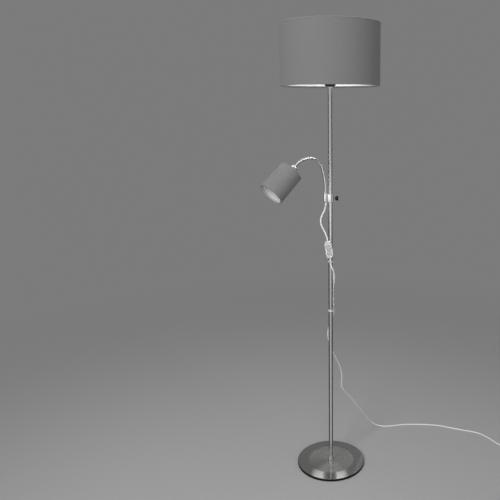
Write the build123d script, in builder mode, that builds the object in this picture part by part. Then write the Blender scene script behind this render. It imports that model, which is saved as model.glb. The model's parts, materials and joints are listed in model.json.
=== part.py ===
from build123d import *

import os
from math import acos, atan2, cos, degrees, hypot, pi, radians, sin, sqrt, tan

# Standing lamp: a fabric drum shade on a slim steel pole with a round weighted base, and a small
# reading lamp on a bending neck that grows from a bracket on the pole. A clear mains lead leaves the
# bracket, passes a hand switch and two clips, and runs down to the floor.
# Millimetres, +Z up, origin at the centre of the base's underside. The neck bends in a plane parallel
# to XZ and the reading lamp hangs on the -X side.

os.makedirs("parts", exist_ok=True)

# ------------------------------------------------------------------ driving dimensions

# base
base_diameter = 250.0
base_height = 9.0  # floor to the top face of the cover
cover_wall = 1.2
cover_edge = 2.5  # rounding of the cover's rim
rim_lift = 0.8  # floor to the lower edge of the cover
pad_thickness = 1.5
pad_inset = 6.0
recess_margin = 2.0  # radial room round the washer
washer_diameter = 24.0
washer_thickness = 1.2
nut_across_flats = 17.0
nut_height = 2.6
stud_diameter = 10.0
stud_bore = 7.5
foot_plug_length = 22.0
stud_stop = 6.0  # the stud ends this far under the plug's top
collar_diameter = 21.0
collar_height = 10.0
collar_edge = 1.5

# pole
pole_diameter = 16.0
pole_wall = 1.0
pole_seam_height = 503.0  # where the two lower tubes meet
tube_edge = 0.3  # small bevel on each tube's ends
joiner_length = 36.0
joiner_bore = 8.0
flex_diameter = 6.0  # the flex inside the upper tube

# bracket on the pole, its swivel core, and the locking knob
bracket_bottom = 997.5
bracket_height = 29.0
bracket_collar = 23.0  # diameter round the pole
bracket_arm = 12.4  # diameter round the neck's socket
bracket_web = 10.0  # thickness between the two
bracket_edge = 1.0
arm_offset = 17.7  # pole axis to neck socket
bracket_turn = -26.0  # degrees from the neck's plane to the bracket's own line
core_lip = 1.0  # the core shows this much above and below the bracket
core_spigot = 18.0
core_bore = 8.0
core_groove_depth = 1.0
wire_window_width = 9.0
wire_window_height = 8.0
wire_window_rise = 21.0  # window's centre above the bracket's underside
knob_rise = 12.3  # screw's axis above the bracket's underside
screw_diameter = 5.0
knob_neck = 7.0
knob_diameter = 18.0
knob_length = 11.5
knob_reach = 27.0  # pole axis to the knob's outer face
knob_flutes = 8
knob_flute_radius = 2.2
knob_flute_depth = 1.0
gland_offset = 14.6
gland_length = 19.0
gland_flange = 9.2
gland_flange_height = 1.5
gland_tip = 6.2
gland_step = 0.4  # the taper starts this far inside the flange
gland_lean = 12.0

# bending neck: straight foot, three arcs (radius, turn in degrees) and a straight tail
neck_diameter = 10.0
neck_bore = 4.4
neck_foot = 10.0
neck_arcs = ((250.0, 19.0), (54.0, 65.0), (75.0, 47.7))
neck_tail = 9.0
neck_links = 12
link_ball = 7.8
link_skirt = 1.0  # the socket's rim reaches this far past the ball's centre
link_throat = 5.8
link_gap = 3.2  # ball's centre to the shoulder under it
link_ribs = 5
rib_depth = 0.4
link_bevel = 0.3
ferrule_stem = 8.2
ferrule_stem_length = 10.0
foot_stem_length = 7.0  # in the bracket
ferrule_diameter = 10.8

# reading lamp, measured along its own axis from the top of its cap
reading_cap_height = 25.0
reading_cap_diameter = 30.0
reading_cap_wall = 1.2
reading_cap_seat = 12.0  # diameter of the flat round the neck's end
reading_cap_floor = 2.16
reading_shade_start = 22.0
reading_shade_length = 108.0
reading_shade_top = 85.4
reading_shade_front = 91.0
reading_flange = 34.0
reading_flange_thickness = 2.0
reading_holder_diameter = 27.0
reading_holder_length = 21.0  # past the flange
reading_holder_bore = 15.4
reading_holder_step = 1.0  # the holder is this much narrower inside the cap
reading_nut_diameter = 40.0
reading_nut_height = 8.0
reading_nut_rim = 2.0
reading_wire = 2.6
reading_spoke_wire = 2.34
reading_spokes = 3
reading_bulb_diameter = 45.0
reading_bulb_length = 56.0
reading_bulb_cap = 13.8
reading_bulb_cap_length = 22.0
reading_bulb_stand = 1.0  # the cap shows this much past the holder

# main lampholder and bulb
holder_drop = 1.0  # the lampholder starts this far under the shade
holder_cap_diameter = 38.0
holder_cap_height = 24.0
holder_cap_wall = 1.6
holder_cap_slope = 4.0
holder_cap_floor = 5.0
holder_flange = 46.0
holder_flange_thickness = 3.0
holder_shell_diameter = 39.0
holder_shell_height = 27.0
holder_shell_bore = 28.0
holder_floor = 3.0
holder_wire_hole = 6.0
holder_nut_diameter = 54.0
holder_nut_height = 10.0
holder_nut_edge = 2.0
nipple_spigot = 18.0
nipple_stand = 10.0
bulb_diameter = 60.0
bulb_height = 82.0
bulb_cap_diameter = 26.4
bulb_cap_height = 27.0
bulb_wall = 1.0

# main shade
lamp_height = 1600.0
shade_diameter = 340.0
shade_height = 205.0
shade_skin = 1.0
lining_skin = 0.6
lining_margin = 1.0  # the lining stops short of the shade's edges
shade_wire = 4.0
spoke_wire = 3.6
spoke_count = 3
spoke_bend = 24.0  # a spoke starts to fall this far inside the ring
spoke_fillet = 12.0
spoke_overlap = 3.0  # welded length of a spoke on its plate
carrier_plate = 1.2
carrier_plate_diameter = 50.0

# hand switch, seen from the front of the lamp
front_turn = -36.0  # the lamp's front is turned this far about +Z from facing -Y
switch_length = 61.5
switch_width = 26.0
switch_end_width = 18.0
switch_depth = 15.0
switch_wall = 1.6
switch_corner = 3.0
switch_edge = 2.0
switch_shoulder = 11.0  # length of the narrowing ends
switch_lean = 8.0
switch_top = (-10.2, -15.9, 861.0)
rocker_length = 14.0
rocker_width = 11.6
rocker_spacing = 19.0
rocker_pin = 2.4
rocker_pin_depth = 5.0  # the pin's axis lies this far under the switch's face
rocker_stand = 2.2
rocker_dip = 1.3
rocker_tilt = 8.0
rocker_lug = 1.5
rocker_end_gap = 0.9
rocker_side_gap = 0.4
rocker_heel = 2.4  # height of its ends' lower corners above the pin
rocker_foot_width = 4.0
rocker_foot_depth = 1.6
switch_screw = 2.6
switch_screw_head = 4.8
switch_screw_rise = 24.0
switch_screw_gap = 1.0  # the screws stop this far inside the front
switch_boss = 5.2

# cord clips
clip_height = 8.0
clip_wall = 1.1
clip_web = 4.0
clip_offset = 15.2  # pole axis to the cord's axis
clip_run = 1.2  # straight length of cord above the upper clip
clip_heights = (784.0, 600.0)
clip_turns = (-90.8, 47.5)  # seen from above, from the front's right-hand direction

# mains lead
cord_diameter = 5.4
cord_end_run = 9.0
cord_start_run = 5.5
gland_run = 12.0
coil_centre = (726.0, 84.0)
coil_start_turn = -146.8  # where the lead joins the coil, seen as above
coil_outer = 37.0  # radius of the outermost turn
coil_pitch = 5.9
coil_turns = 4.0
coil_climb = 0.5  # turns over which the coil climbs a layer
plug_length = 62.0
plug_width = 28.0
plug_nose = 5.9
plug_boot_length = 18.6
plug_neck_length = 26.04
plug_shoulder_length = 34.72
pin_diameter = 4.0
pin_length = 19.0
pin_spacing = 18.6

# clearances
fit = 0.05  # radial, between a shaft and the hole it turns or sits in
loose = 0.3  # between curved faces that only lie next to each other

# ------------------------------------------------------------------ shared geometry

pole_radius = pole_diameter / 2
pole_inside = pole_radius - pole_wall
bracket_top = bracket_bottom + bracket_height
shade_bottom = lamp_height - shade_height
holder_bottom = shade_bottom - holder_drop
cord_radius = cord_diameter / 2


def around(turn, distance, height=0.0):
    """Point at a distance from the pole's axis, turned from +X."""
    return Vector(distance * cos(radians(turn)), distance * sin(radians(turn)), height)


def from_front(x, y, z=0.0):
    """Model point from its place as seen from the lamp's front: x right, y away, z up."""
    return around(front_turn, x) + around(front_turn + 90, y) + Vector(0, 0, z)


def axis_plane(origin, direction, radial=(0, 1, 0)):
    """Plane whose local x is radial and local y runs along a piece's axis."""
    return Plane(origin=origin, x_dir=radial, z_dir=Vector(radial).cross(Vector(direction)))


def axis_of(plane):
    """Axis of a turned piece drawn on an axis plane."""
    return Axis(plane.origin, plane.y_dir)


def keep(builder, name):
    """Label a finished piece and write it."""
    builder.part.label = name
    export_step(builder.part, f"parts/{name}.step")


def turned_outline(points):
    """Closed outline of a turned piece, as radius and place along the axis."""
    Polygon(*points, align=None)


def tube(bottom, top, outer, inner):
    """Straight upright tube with small bevels on its outer ends."""
    with BuildPart() as piece:
        with BuildSketch(Plane.XY.offset(bottom)):
            Circle(outer)
            Circle(inner, mode=Mode.SUBTRACT)
        extrude(amount=top - bottom)
        rims = piece.edges().filter_by(GeomType.CIRCLE).group_by(SortBy.RADIUS)[-1]
        chamfer(rims, length=tube_edge)
    return piece


upright = axis_plane((0, 0, 0), (0, 0, 1), (1, 0, 0))

# ------------------------------------------------------------------ base

base_radius = base_diameter / 2
plate_radius = base_radius - cover_wall
plate_top = base_height - cover_wall
stud_radius = stud_diameter / 2
recess_depth = washer_thickness + nut_height + loose
recess_top = pad_thickness + recess_depth
recess_radius = washer_diameter / 2 + recess_margin
washer_bottom = recess_top - washer_thickness

with BuildPart() as base_cover:
    with BuildSketch(upright):
        turned_outline(
            [
                (stud_radius + loose, base_height),
                (base_radius, base_height),
                (base_radius, rim_lift),
                (plate_radius, rim_lift),
                (plate_radius, plate_top),
                (stud_radius + loose, plate_top),
            ]
        )
    revolve(axis=Axis.Z)
    top_edges = base_cover.edges().filter_by(GeomType.CIRCLE).group_by(Axis.Z)[-1]
    fillet(top_edges.sort_by(SortBy.RADIUS)[-1], radius=cover_edge)
keep(base_cover, "base_cover")

with BuildPart() as base_weight:
    with BuildSketch(upright):
        turned_outline(
            [
                (stud_radius + loose, plate_top),
                (plate_radius - cover_edge, plate_top),
                (plate_radius - loose, plate_top - cover_edge),
                (plate_radius - loose, pad_thickness),
                (recess_radius, pad_thickness),
                (recess_radius, recess_top),
                (stud_radius + loose, recess_top),
            ]
        )
    revolve(axis=Axis.Z)
keep(base_weight, "base_weight")

with BuildPart() as floor_pad:
    with BuildSketch(Plane.XY):
        Circle(plate_radius - pad_inset)
    extrude(amount=pad_thickness)
keep(floor_pad, "floor_pad")

stud_bottom = washer_bottom - nut_height
with BuildPart() as foot_fixings:
    with BuildSketch(Plane.XY.offset(stud_bottom)):
        Circle(stud_radius)
        Circle(stud_bore / 2, mode=Mode.SUBTRACT)
    extrude(amount=base_height + foot_plug_length - stud_stop - stud_bottom)
    with BuildSketch(Plane.XY.offset(washer_bottom)):
        Circle(washer_diameter / 2)
        Circle(stud_radius + fit, mode=Mode.SUBTRACT)
    extrude(amount=washer_thickness)
    with BuildSketch(Plane.XY.offset(stud_bottom)):
        RegularPolygon(nut_across_flats / 2, 6, major_radius=False)
        Circle(stud_radius + fit, mode=Mode.SUBTRACT)
    extrude(amount=nut_height - 2 * fit)
keep(foot_fixings, "foot_fixings")

with BuildPart() as foot_plug:
    with BuildSketch(Plane.XY.offset(base_height)):
        Circle(pole_inside - fit)
        Circle(stud_radius + fit, mode=Mode.SUBTRACT)
    extrude(amount=foot_plug_length)
keep(foot_plug, "foot_plug")

with BuildPart() as foot_collar:
    with BuildSketch(Plane.XY.offset(base_height)):
        Circle(collar_diameter / 2)
        Circle(pole_radius + fit, mode=Mode.SUBTRACT)
    extrude(amount=collar_height)
    upper_rims = foot_collar.edges().group_by(Axis.Z)[-1]
    fillet(upper_rims.sort_by(SortBy.RADIUS)[-1], radius=collar_edge)
keep(foot_collar, "foot_collar")

# ------------------------------------------------------------------ pole

pole_lower = tube(base_height, pole_seam_height, pole_radius, pole_inside)
keep(pole_lower, "pole_lower")
pole_middle = tube(pole_seam_height, bracket_bottom - core_lip, pole_radius, pole_inside)
keep(pole_middle, "pole_middle")
pole_upper = tube(bracket_top + core_lip, holder_bottom, pole_radius, pole_inside)
keep(pole_upper, "pole_upper")

with BuildPart() as pole_joiner:
    with BuildSketch(Plane.XY.offset(pole_seam_height - joiner_length / 2)):
        Circle(pole_inside - fit)
        Circle(joiner_bore / 2, mode=Mode.SUBTRACT)
    extrude(amount=joiner_length)
keep(pole_joiner, "pole_joiner")

# The core joins the middle and upper tubes inside the bracket. The bracket turns on it, the screw's
# tip runs in its groove, and the window lets the wires in.
knob_height = bracket_bottom + knob_rise
window_height = bracket_bottom + wire_window_rise
groove_half = screw_diameter / 2 + loose
core_bottom = bracket_bottom - core_lip
core_top = bracket_top + core_lip
bracket_line = 180 + bracket_turn


def bracket_plane(height, turn=bracket_line):
    """Upright plane through the pole's axis, facing a direction given as a turn from +X."""
    return Plane(origin=(0, 0, height), x_dir=around(turn + 90, 1), z_dir=around(turn, 1))


with BuildPart() as pole_core:
    with BuildSketch(upright):
        turned_outline(
            [
                (core_bore / 2, core_bottom - core_spigot),
                (pole_inside - fit, core_bottom - core_spigot),
                (pole_inside - fit, core_bottom),
                (pole_radius, core_bottom),
                (pole_radius, knob_height - groove_half),
                (pole_radius - core_groove_depth, knob_height - groove_half),
                (pole_radius - core_groove_depth, knob_height + groove_half),
                (pole_radius, knob_height + groove_half),
                (pole_radius, core_top),
                (pole_inside - fit, core_top),
                (pole_inside - fit, core_top + core_spigot),
                (core_bore / 2, core_top + core_spigot),
            ]
        )
    revolve(axis=Axis.Z)
    with BuildSketch(bracket_plane(window_height)):
        Rectangle(wire_window_width, wire_window_height)
    extrude(amount=pole_diameter, mode=Mode.SUBTRACT)
keep(pole_core, "pole_core")

with BuildPart() as lamp_flex:
    with BuildSketch(Plane.XY.offset(window_height)):
        Circle(flex_diameter / 2)
    extrude(amount=holder_bottom + nipple_stand - window_height)
keep(lamp_flex, "lamp_flex")

# ------------------------------------------------------------------ bracket

socket_axis = around(bracket_line, arm_offset)
gland_root = around(bracket_line, gland_offset, bracket_bottom)
bracket_floor = Plane(origin=(0, 0, bracket_bottom), x_dir=around(bracket_turn, 1), z_dir=(0, 0, 1))

with BuildPart() as neck_bracket:
    with BuildSketch(bracket_floor):
        Circle(bracket_collar / 2)
        with Locations((-arm_offset, 0)):
            Circle(bracket_arm / 2)
        with Locations((-arm_offset / 2, 0)):
            Rectangle(arm_offset, bracket_web)
    extrude(amount=bracket_height)
    outer_edges = neck_bracket.edges()
    ends = outer_edges.group_by(Axis.Z)[0] + outer_edges.group_by(Axis.Z)[-1]
    fillet(ends, radius=bracket_edge)
    with BuildSketch(bracket_floor):
        Circle(pole_radius + fit)
    extrude(amount=bracket_height, mode=Mode.SUBTRACT)
    with BuildSketch(bracket_floor.offset(bracket_height)):
        with Locations((-arm_offset, 0)):
            Circle(ferrule_stem / 2 + fit)
    extrude(amount=-(bracket_height - wire_window_rise), mode=Mode.SUBTRACT)
    with BuildSketch(bracket_floor):
        with Locations((-gland_offset, 0)):
            Circle(cord_radius + loose)
    extrude(amount=wire_window_rise, mode=Mode.SUBTRACT)
    with BuildSketch(bracket_plane(window_height)):
        Rectangle(wire_window_width / 2, wire_window_height / 2)
    extrude(amount=arm_offset, mode=Mode.SUBTRACT)
    with BuildSketch(bracket_plane(knob_height, bracket_turn)):
        Circle(screw_diameter / 2 + fit)
    extrude(amount=pole_diameter, mode=Mode.SUBTRACT)
keep(neck_bracket, "neck_bracket")

screw_tip = pole_radius - core_groove_depth + loose
with BuildPart() as lock_screw:
    with BuildSketch(bracket_plane(knob_height, bracket_turn).offset(screw_tip)):
        Circle(screw_diameter / 2)
    extrude(amount=knob_reach - knob_length / 4 - screw_tip)
keep(lock_screw, "lock_screw")

knob_face = bracket_plane(knob_height, bracket_turn).offset(knob_reach)
knob_axis = axis_plane(around(bracket_turn, 0, knob_height), around(bracket_turn, 1), (0, 0, 1))
knob_root = knob_reach - knob_length
flute_circle = knob_diameter / 2 + knob_flute_radius - knob_flute_depth
with BuildPart() as lock_knob:
    with BuildSketch(knob_axis):
        turned_outline(
            [
                (screw_diameter / 2, knob_root),
                (knob_neck / 2, knob_root),
                (knob_diameter / 2, knob_reach - knob_length / 4),
                (knob_diameter / 2, knob_reach),
                (0, knob_reach),
                (0, knob_reach - knob_length / 4),
                (screw_diameter / 2, knob_reach - knob_length / 4),
            ]
        )
    revolve(axis=axis_of(knob_axis))
    with BuildSketch(knob_face):
        with PolarLocations(flute_circle, knob_flutes):
            Circle(knob_flute_radius)
    extrude(amount=-knob_length / 2, mode=Mode.SUBTRACT)
keep(lock_knob, "lock_knob")

gland_way = from_front(-sin(radians(gland_lean)), 0, -cos(radians(gland_lean)))
gland_top = gland_root - Vector(0, 0, gland_flange_height)
cord_exit = gland_top + gland_way * gland_length
with BuildPart() as cord_gland:
    with BuildSketch(Plane(origin=gland_root, x_dir=(1, 0, 0), z_dir=(0, 0, -1))):
        Circle(gland_flange / 2)
    extrude(amount=gland_flange_height)
    with BuildSketch(Plane(origin=gland_top, x_dir=(1, 0, 0), z_dir=(0, 0, -1))):
        Circle(gland_flange / 2 - gland_step)
    with BuildSketch(Plane(origin=cord_exit, x_dir=(0, 1, 0), z_dir=gland_way)):
        Circle(gland_tip / 2)
    loft()
keep(cord_gland, "cord_gland")

# ------------------------------------------------------------------ bending neck


def neck_walk(distance):
    """Reach, height and heading of the neck's centre line after a distance from the bracket."""
    reach = 0.0
    height = bracket_top
    heading = 0.0
    left = distance - neck_foot
    height += neck_foot + min(left, 0.0)
    for radius, turn in neck_arcs:
        step = min(max(left, 0.0) / radius, radians(turn))
        reach += radius * (cos(heading) - cos(heading + step))
        height += radius * (sin(heading + step) - sin(heading))
        heading += step
        left -= radius * radians(turn)
    reach += max(left, 0.0) * sin(heading)
    height += max(left, 0.0) * cos(heading)
    return reach, height, heading


def neck_place(reach, height):
    """Model point of a place in the neck's plane."""
    return Vector(socket_axis.X - reach, socket_axis.Y, height)


def neck_way(heading):
    """Direction in the neck's plane, turned from +Z towards -X."""
    return Vector(-sin(heading), 0, cos(heading))


neck_curve = sum(radius * radians(turn) for radius, turn in neck_arcs)
neck_length = neck_foot + neck_curve + neck_tail
pivot_places = [neck_walk(neck_foot + neck_curve * k / neck_links)[:2] for k in range(neck_links + 1)]
pivots = [neck_place(*place) for place in pivot_places]
steps = [(b[0] - a[0], b[1] - a[1]) for a, b in zip(pivot_places, pivot_places[1:])]
link_headings = [atan2(across, up) for across, up in steps]
link_lengths = [hypot(across, up) for across, up in steps]
tail_heading = neck_walk(neck_length)[2]

neck_radius = neck_diameter / 2
bore_radius = neck_bore / 2
throat_radius = link_throat / 2
ball_radius = link_ball / 2
cup_radius = ball_radius + loose
cup_mouth = sqrt(cup_radius**2 - link_skirt**2)
cup_roof = sqrt(cup_radius**2 - bore_radius**2)
ball_foot = sqrt(ball_radius**2 - throat_radius**2)
ball_crown = sqrt(ball_radius**2 - bore_radius**2)


def cup_lines(pivot):
    """Inner wall of a socket about a pivot, from the bore down to the rim."""
    ThreePointArc((bore_radius, pivot + cup_roof), (cup_radius, pivot), (cup_mouth, pivot - link_skirt))


def ball_lines(shoulder, pivot, outer):
    """Shoulder, throat and ball under a pivot, up to the bore."""
    Polyline((outer, shoulder), (throat_radius, shoulder), (throat_radius, pivot - ball_foot))
    ThreePointArc((throat_radius, pivot - ball_foot), (ball_radius, pivot), (bore_radius, pivot + ball_crown))


def rib_lines(start, end, count):
    """Row of rounded ribs between two places along the neck."""
    valley = neck_radius - rib_depth
    rib = (end - start) / count
    for k in range(count):
        low = start + k * rib
        ThreePointArc((valley, low), (neck_radius, low + rib / 2), (valley, low + rib))


with BuildPart() as neck_ferrule:
    foot_axis = axis_plane(socket_axis + Vector(0, 0, bracket_top), (0, 0, 1))
    with BuildSketch(foot_axis):
        with BuildLine():
            shoulder = neck_foot - link_gap
            ball_lines(shoulder, neck_foot, ferrule_diameter / 2)
            Polyline(
                (bore_radius, neck_foot + ball_crown),
                (bore_radius, -foot_stem_length),
                (ferrule_stem / 2, -foot_stem_length),
                (ferrule_stem / 2, 0),
                (ferrule_diameter / 2, 0),
                (ferrule_diameter / 2, shoulder),
            )
        make_face()
    revolve(axis=axis_of(foot_axis))
keep(neck_ferrule, "neck_ferrule")

for number in range(neck_links):
    link_axis = axis_plane(pivots[number], neck_way(link_headings[number]))
    length = link_lengths[number]
    valley = neck_radius - rib_depth
    with BuildPart() as neck_link:
        with BuildSketch(link_axis):
            with BuildLine():
                cup_lines(0)
                Line((cup_mouth, -link_skirt), (valley, -link_skirt))
                rib_lines(-link_skirt, length - link_gap, link_ribs)
                ball_lines(length - link_gap, length, valley)
                Line((bore_radius, length + ball_crown), (bore_radius, cup_roof))
            make_face()
        revolve(axis=axis_of(link_axis))
    keep(neck_link, f"neck_link_{number + 1:02d}")

# ------------------------------------------------------------------ reading lamp

head_way = neck_way(tail_heading)
head_top = neck_place(*neck_walk(neck_length)[:2])
head_axis = axis_plane(head_top, head_way)
head_line = axis_of(head_axis)
reading_front = reading_shade_start + reading_shade_length
reading_slope = (reading_shade_front - reading_shade_top) / 2 / reading_shade_length


def reading_radius(along):
    """Outer radius of the reading lamp's shade at a place along its axis."""
    return reading_shade_top / 2 + (along - reading_shade_start) * reading_slope


with BuildPart() as head_ferrule:
    with BuildSketch(head_axis):
        with BuildLine():
            cup_lines(-neck_tail)
            Polyline(
                (cup_mouth, -neck_tail - link_skirt),
                (neck_radius - link_bevel, -neck_tail - link_skirt),
                (neck_radius, -neck_tail - link_skirt + link_bevel),
                (neck_radius, 0),
                (ferrule_stem / 2, 0),
                (ferrule_stem / 2, ferrule_stem_length),
                (bore_radius, ferrule_stem_length),
                (bore_radius, -neck_tail + cup_roof),
            )
        make_face()
    revolve(axis=head_line)
keep(head_ferrule, "head_ferrule")

cap_radius = reading_cap_diameter / 2
seat_radius = reading_cap_seat / 2
stem_hole = ferrule_stem / 2 + fit
cap_crown = reading_cap_height / 3
with BuildPart() as reading_cap:
    with BuildSketch(head_axis):
        with BuildLine():
            Line((stem_hole, 0), (seat_radius, 0))
            ThreePointArc(
                (seat_radius, 0),
                (seat_radius + (cap_radius - seat_radius) * sin(pi / 4), cap_crown * (1 - cos(pi / 4))),
                (cap_radius, cap_crown),
            )
            Polyline(
                (cap_radius, cap_crown),
                (cap_radius, reading_cap_height),
                (cap_radius - reading_cap_wall, reading_cap_height),
                (cap_radius - reading_cap_wall, cap_crown + reading_cap_wall),
                (seat_radius, reading_cap_floor),
                (stem_hole, reading_cap_floor),
                (stem_hole, 0),
            )
        make_face()
    revolve(axis=head_line)
keep(reading_cap, "reading_cap")

flange_end = reading_cap_height + reading_flange_thickness
holder_end = flange_end + reading_holder_length
holder_radius = reading_holder_diameter / 2
reading_bore = reading_holder_bore / 2
holder_base = ferrule_stem_length + loose
bulb_start = holder_end - reading_bulb_cap_length + reading_bulb_stand
holder_neck = holder_radius - reading_holder_step
with BuildPart() as reading_holder:
    with BuildSketch(head_axis):
        turned_outline(
            [
                (bore_radius, holder_base),
                (holder_neck, holder_base),
                (holder_neck, reading_cap_height),
                (reading_flange / 2, reading_cap_height),
                (reading_flange / 2, flange_end),
                (holder_radius, flange_end),
                (holder_radius, holder_end),
                (reading_bore, holder_end),
                (reading_bore, bulb_start - loose),
                (bore_radius, bulb_start - loose),
            ]
        )
    revolve(axis=head_line)
keep(reading_holder, "reading_holder")

# The shade's top ring, its spokes and the plate that the holder's nut clamps are one welded piece.
wire_radius = reading_wire / 2
plate_end = flange_end + carrier_plate
ring_place = flange_end + wire_radius
reading_inside = reading_radius(reading_shade_start) - shade_skin - lining_skin - 2 * loose
ring_radius = reading_inside - wire_radius
plate_edge = reading_nut_diameter / 2
with BuildPart() as reading_carrier:
    with BuildSketch(head_axis):
        with BuildLine():
            Polyline(
                (holder_radius + fit, flange_end),
                (plate_edge, flange_end),
                (plate_edge, plate_end),
                (holder_radius + fit, plate_end),
                close=True,
            )
        make_face()
    revolve(axis=head_line)
    with BuildSketch(head_axis):
        with Locations((ring_radius, ring_place)):
            Circle(wire_radius)
    revolve(axis=head_line)
    for spoke in range(reading_spokes):
        spoke_way = Vector(0, 1, 0).rotate(Axis((0, 0, 0), head_way), 360 * spoke / reading_spokes)
        spoke_root = head_top + head_way * ring_place + spoke_way * (plate_edge - spoke_overlap)
        with BuildSketch(Plane(origin=spoke_root, x_dir=head_way, z_dir=spoke_way)):
            Circle(reading_spoke_wire / 2)
        extrude(amount=ring_radius - plate_edge + spoke_overlap)
keep(reading_carrier, "reading_carrier")

nut_inner = holder_radius + fit
nut_start = ring_place + wire_radius + fit
with BuildPart() as reading_nut:
    with BuildSketch(head_axis):
        turned_outline(
            [
                (nut_inner, nut_start),
                (reading_nut_diameter / 2, nut_start),
                (reading_nut_diameter / 2, nut_start + reading_nut_height / 3),
                (nut_inner + reading_nut_rim, nut_start + reading_nut_height),
                (nut_inner, nut_start + reading_nut_height),
            ]
        )
    revolve(axis=head_line)
keep(reading_nut, "reading_nut")


def reading_skin(start, end, depth, thickness):
    """Conical skin of the reading shade, a depth inside its outer face."""
    with BuildPart() as piece:
        with BuildSketch(head_axis):
            turned_outline(
                [
                    (reading_radius(start) - depth, start),
                    (reading_radius(end) - depth, end),
                    (reading_radius(end) - depth - thickness, end),
                    (reading_radius(start) - depth - thickness, start),
                ]
            )
        revolve(axis=head_line)
    return piece


reading_shade = reading_skin(reading_shade_start, reading_front, 0, shade_skin)
keep(reading_shade, "reading_shade")
lining_depth = shade_skin + loose
reading_lining = reading_skin(
    reading_shade_start + lining_margin, reading_front - lining_margin, lining_depth, lining_skin
)
keep(reading_lining, "reading_lining")

front_place = reading_front - lining_margin - wire_radius
front_inside = reading_radius(front_place) - lining_depth - lining_skin - loose
with BuildPart() as reading_front_ring:
    with BuildSketch(head_axis):
        with Locations((front_inside - wire_radius, front_place)):
            Circle(wire_radius)
    revolve(axis=head_line)
keep(reading_front_ring, "reading_front_ring")


def glass_line(centre, crown, start, neck):
    """Outline of a bulb from its neck to its top: a cone that runs into a round crown."""
    drop = centre - start
    touch = atan2(-drop, neck) + acos(crown / hypot(neck, drop))
    middle = (touch + pi / 2) / 2
    return [
        (neck, start),
        (crown * cos(touch), centre + crown * sin(touch)),
        (crown * cos(middle), centre + crown * sin(middle)),
        (0, centre + crown),
    ]


def bulb_glass(plane, start, length, width, neck):
    """Hollow bulb envelope, open at its neck."""
    centre = start + length - width / 2
    outer = glass_line(centre, width / 2, start, neck)
    inner = glass_line(centre, width / 2 - bulb_wall, start, neck - bulb_wall)
    with BuildPart() as piece:
        with BuildSketch(plane):
            with BuildLine():
                for foot, touch, middle, top in (outer, inner):
                    Line(foot, touch)
                    ThreePointArc(touch, middle, top)
                Line(outer[0], inner[0])
                Line(outer[-1], inner[-1])
            make_face()
        revolve(axis=axis_of(plane))
    return piece


reading_bulb_start = bulb_start + reading_bulb_cap_length
reading_bulb = bulb_glass(
    head_axis, reading_bulb_start, reading_bulb_length, reading_bulb_diameter, reading_bulb_cap / 2
)
keep(reading_bulb, "reading_bulb")


def bulb_cap(plane, start, length, width):
    """Threaded cap of a bulb with its end contact, hollow under the glass."""
    contact = start + length * 0.25
    with BuildPart() as piece:
        with BuildSketch(plane):
            turned_outline(
                [
                    (0, start),
                    (width / 6, start),
                    (width / 3, start + length * 0.12),
                    (width / 2, contact),
                    (width / 2, start + length),
                    (width / 2 - bulb_wall, start + length),
                    (width / 2 - bulb_wall, contact + bulb_wall),
                    (0, contact + bulb_wall),
                ]
            )
        revolve(axis=axis_of(plane))
    return piece


reading_bulb_base = bulb_cap(head_axis, bulb_start, reading_bulb_cap_length, reading_bulb_cap)
keep(reading_bulb_base, "reading_bulb_base")

# ------------------------------------------------------------------ main lampholder

cap_top = holder_bottom + holder_cap_height
flange_top = cap_top + holder_flange_thickness
shell_top = flange_top + holder_shell_height
shell_radius = holder_shell_diameter / 2
nipple_radius = stud_radius
cup_radius_outside = holder_cap_diameter / 2

with BuildPart() as pole_nipple:
    with BuildSketch(Plane.XY.offset(holder_bottom - nipple_spigot)):
        Circle(pole_inside - fit)
        Circle(flex_diameter / 2 + loose, mode=Mode.SUBTRACT)
    extrude(amount=nipple_spigot)
    with BuildSketch(Plane.XY.offset(holder_bottom)):
        Circle(nipple_radius)
        Circle(flex_diameter / 2 + loose, mode=Mode.SUBTRACT)
    extrude(amount=nipple_stand)
keep(pole_nipple, "pole_nipple")

with BuildPart() as holder_cap:
    with BuildSketch(upright):
        turned_outline(
            [
                (nipple_radius + fit, holder_bottom),
                (cup_radius_outside - holder_cap_slope, holder_bottom),
                (cup_radius_outside, holder_bottom + holder_cap_slope),
                (cup_radius_outside, cap_top),
                (cup_radius_outside - holder_cap_wall, cap_top),
                (cup_radius_outside - holder_cap_wall, holder_bottom + holder_cap_floor),
                (nipple_radius + fit, holder_bottom + holder_cap_floor),
            ]
        )
    revolve(axis=Axis.Z)
keep(holder_cap, "holder_cap")

with BuildPart() as holder_shell:
    with BuildSketch(upright):
        turned_outline(
            [
                (holder_wire_hole / 2, cap_top),
                (holder_flange / 2, cap_top),
                (holder_flange / 2, flange_top),
                (shell_radius, flange_top),
                (shell_radius, shell_top),
                (holder_shell_bore / 2, shell_top),
                (holder_shell_bore / 2, cap_top + holder_floor),
                (holder_wire_hole / 2, cap_top + holder_floor),
            ]
        )
    revolve(axis=Axis.Z)
keep(holder_shell, "holder_shell")

nut_bottom = flange_top + spoke_wire + fit
with BuildPart() as holder_nut:
    with BuildSketch(Plane.XY.offset(nut_bottom)):
        Circle(holder_nut_diameter / 2)
        Circle(shell_radius + fit, mode=Mode.SUBTRACT)
    extrude(amount=holder_nut_height)
    nut_rims = holder_nut.edges().group_by(Axis.Z)[-1]
    fillet(nut_rims.sort_by(SortBy.RADIUS)[-1], radius=holder_nut_edge)
keep(holder_nut, "holder_nut")

main_bulb_bottom = cap_top + holder_floor + loose
main_bulb_base = bulb_cap(upright, main_bulb_bottom, bulb_cap_height, bulb_cap_diameter)
keep(main_bulb_base, "main_bulb_base")
glass_bottom = main_bulb_bottom + bulb_cap_height
main_bulb = bulb_glass(upright, glass_bottom, bulb_height, bulb_diameter, bulb_cap_diameter / 2)
keep(main_bulb, "main_bulb")

# ------------------------------------------------------------------ main shade

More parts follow.
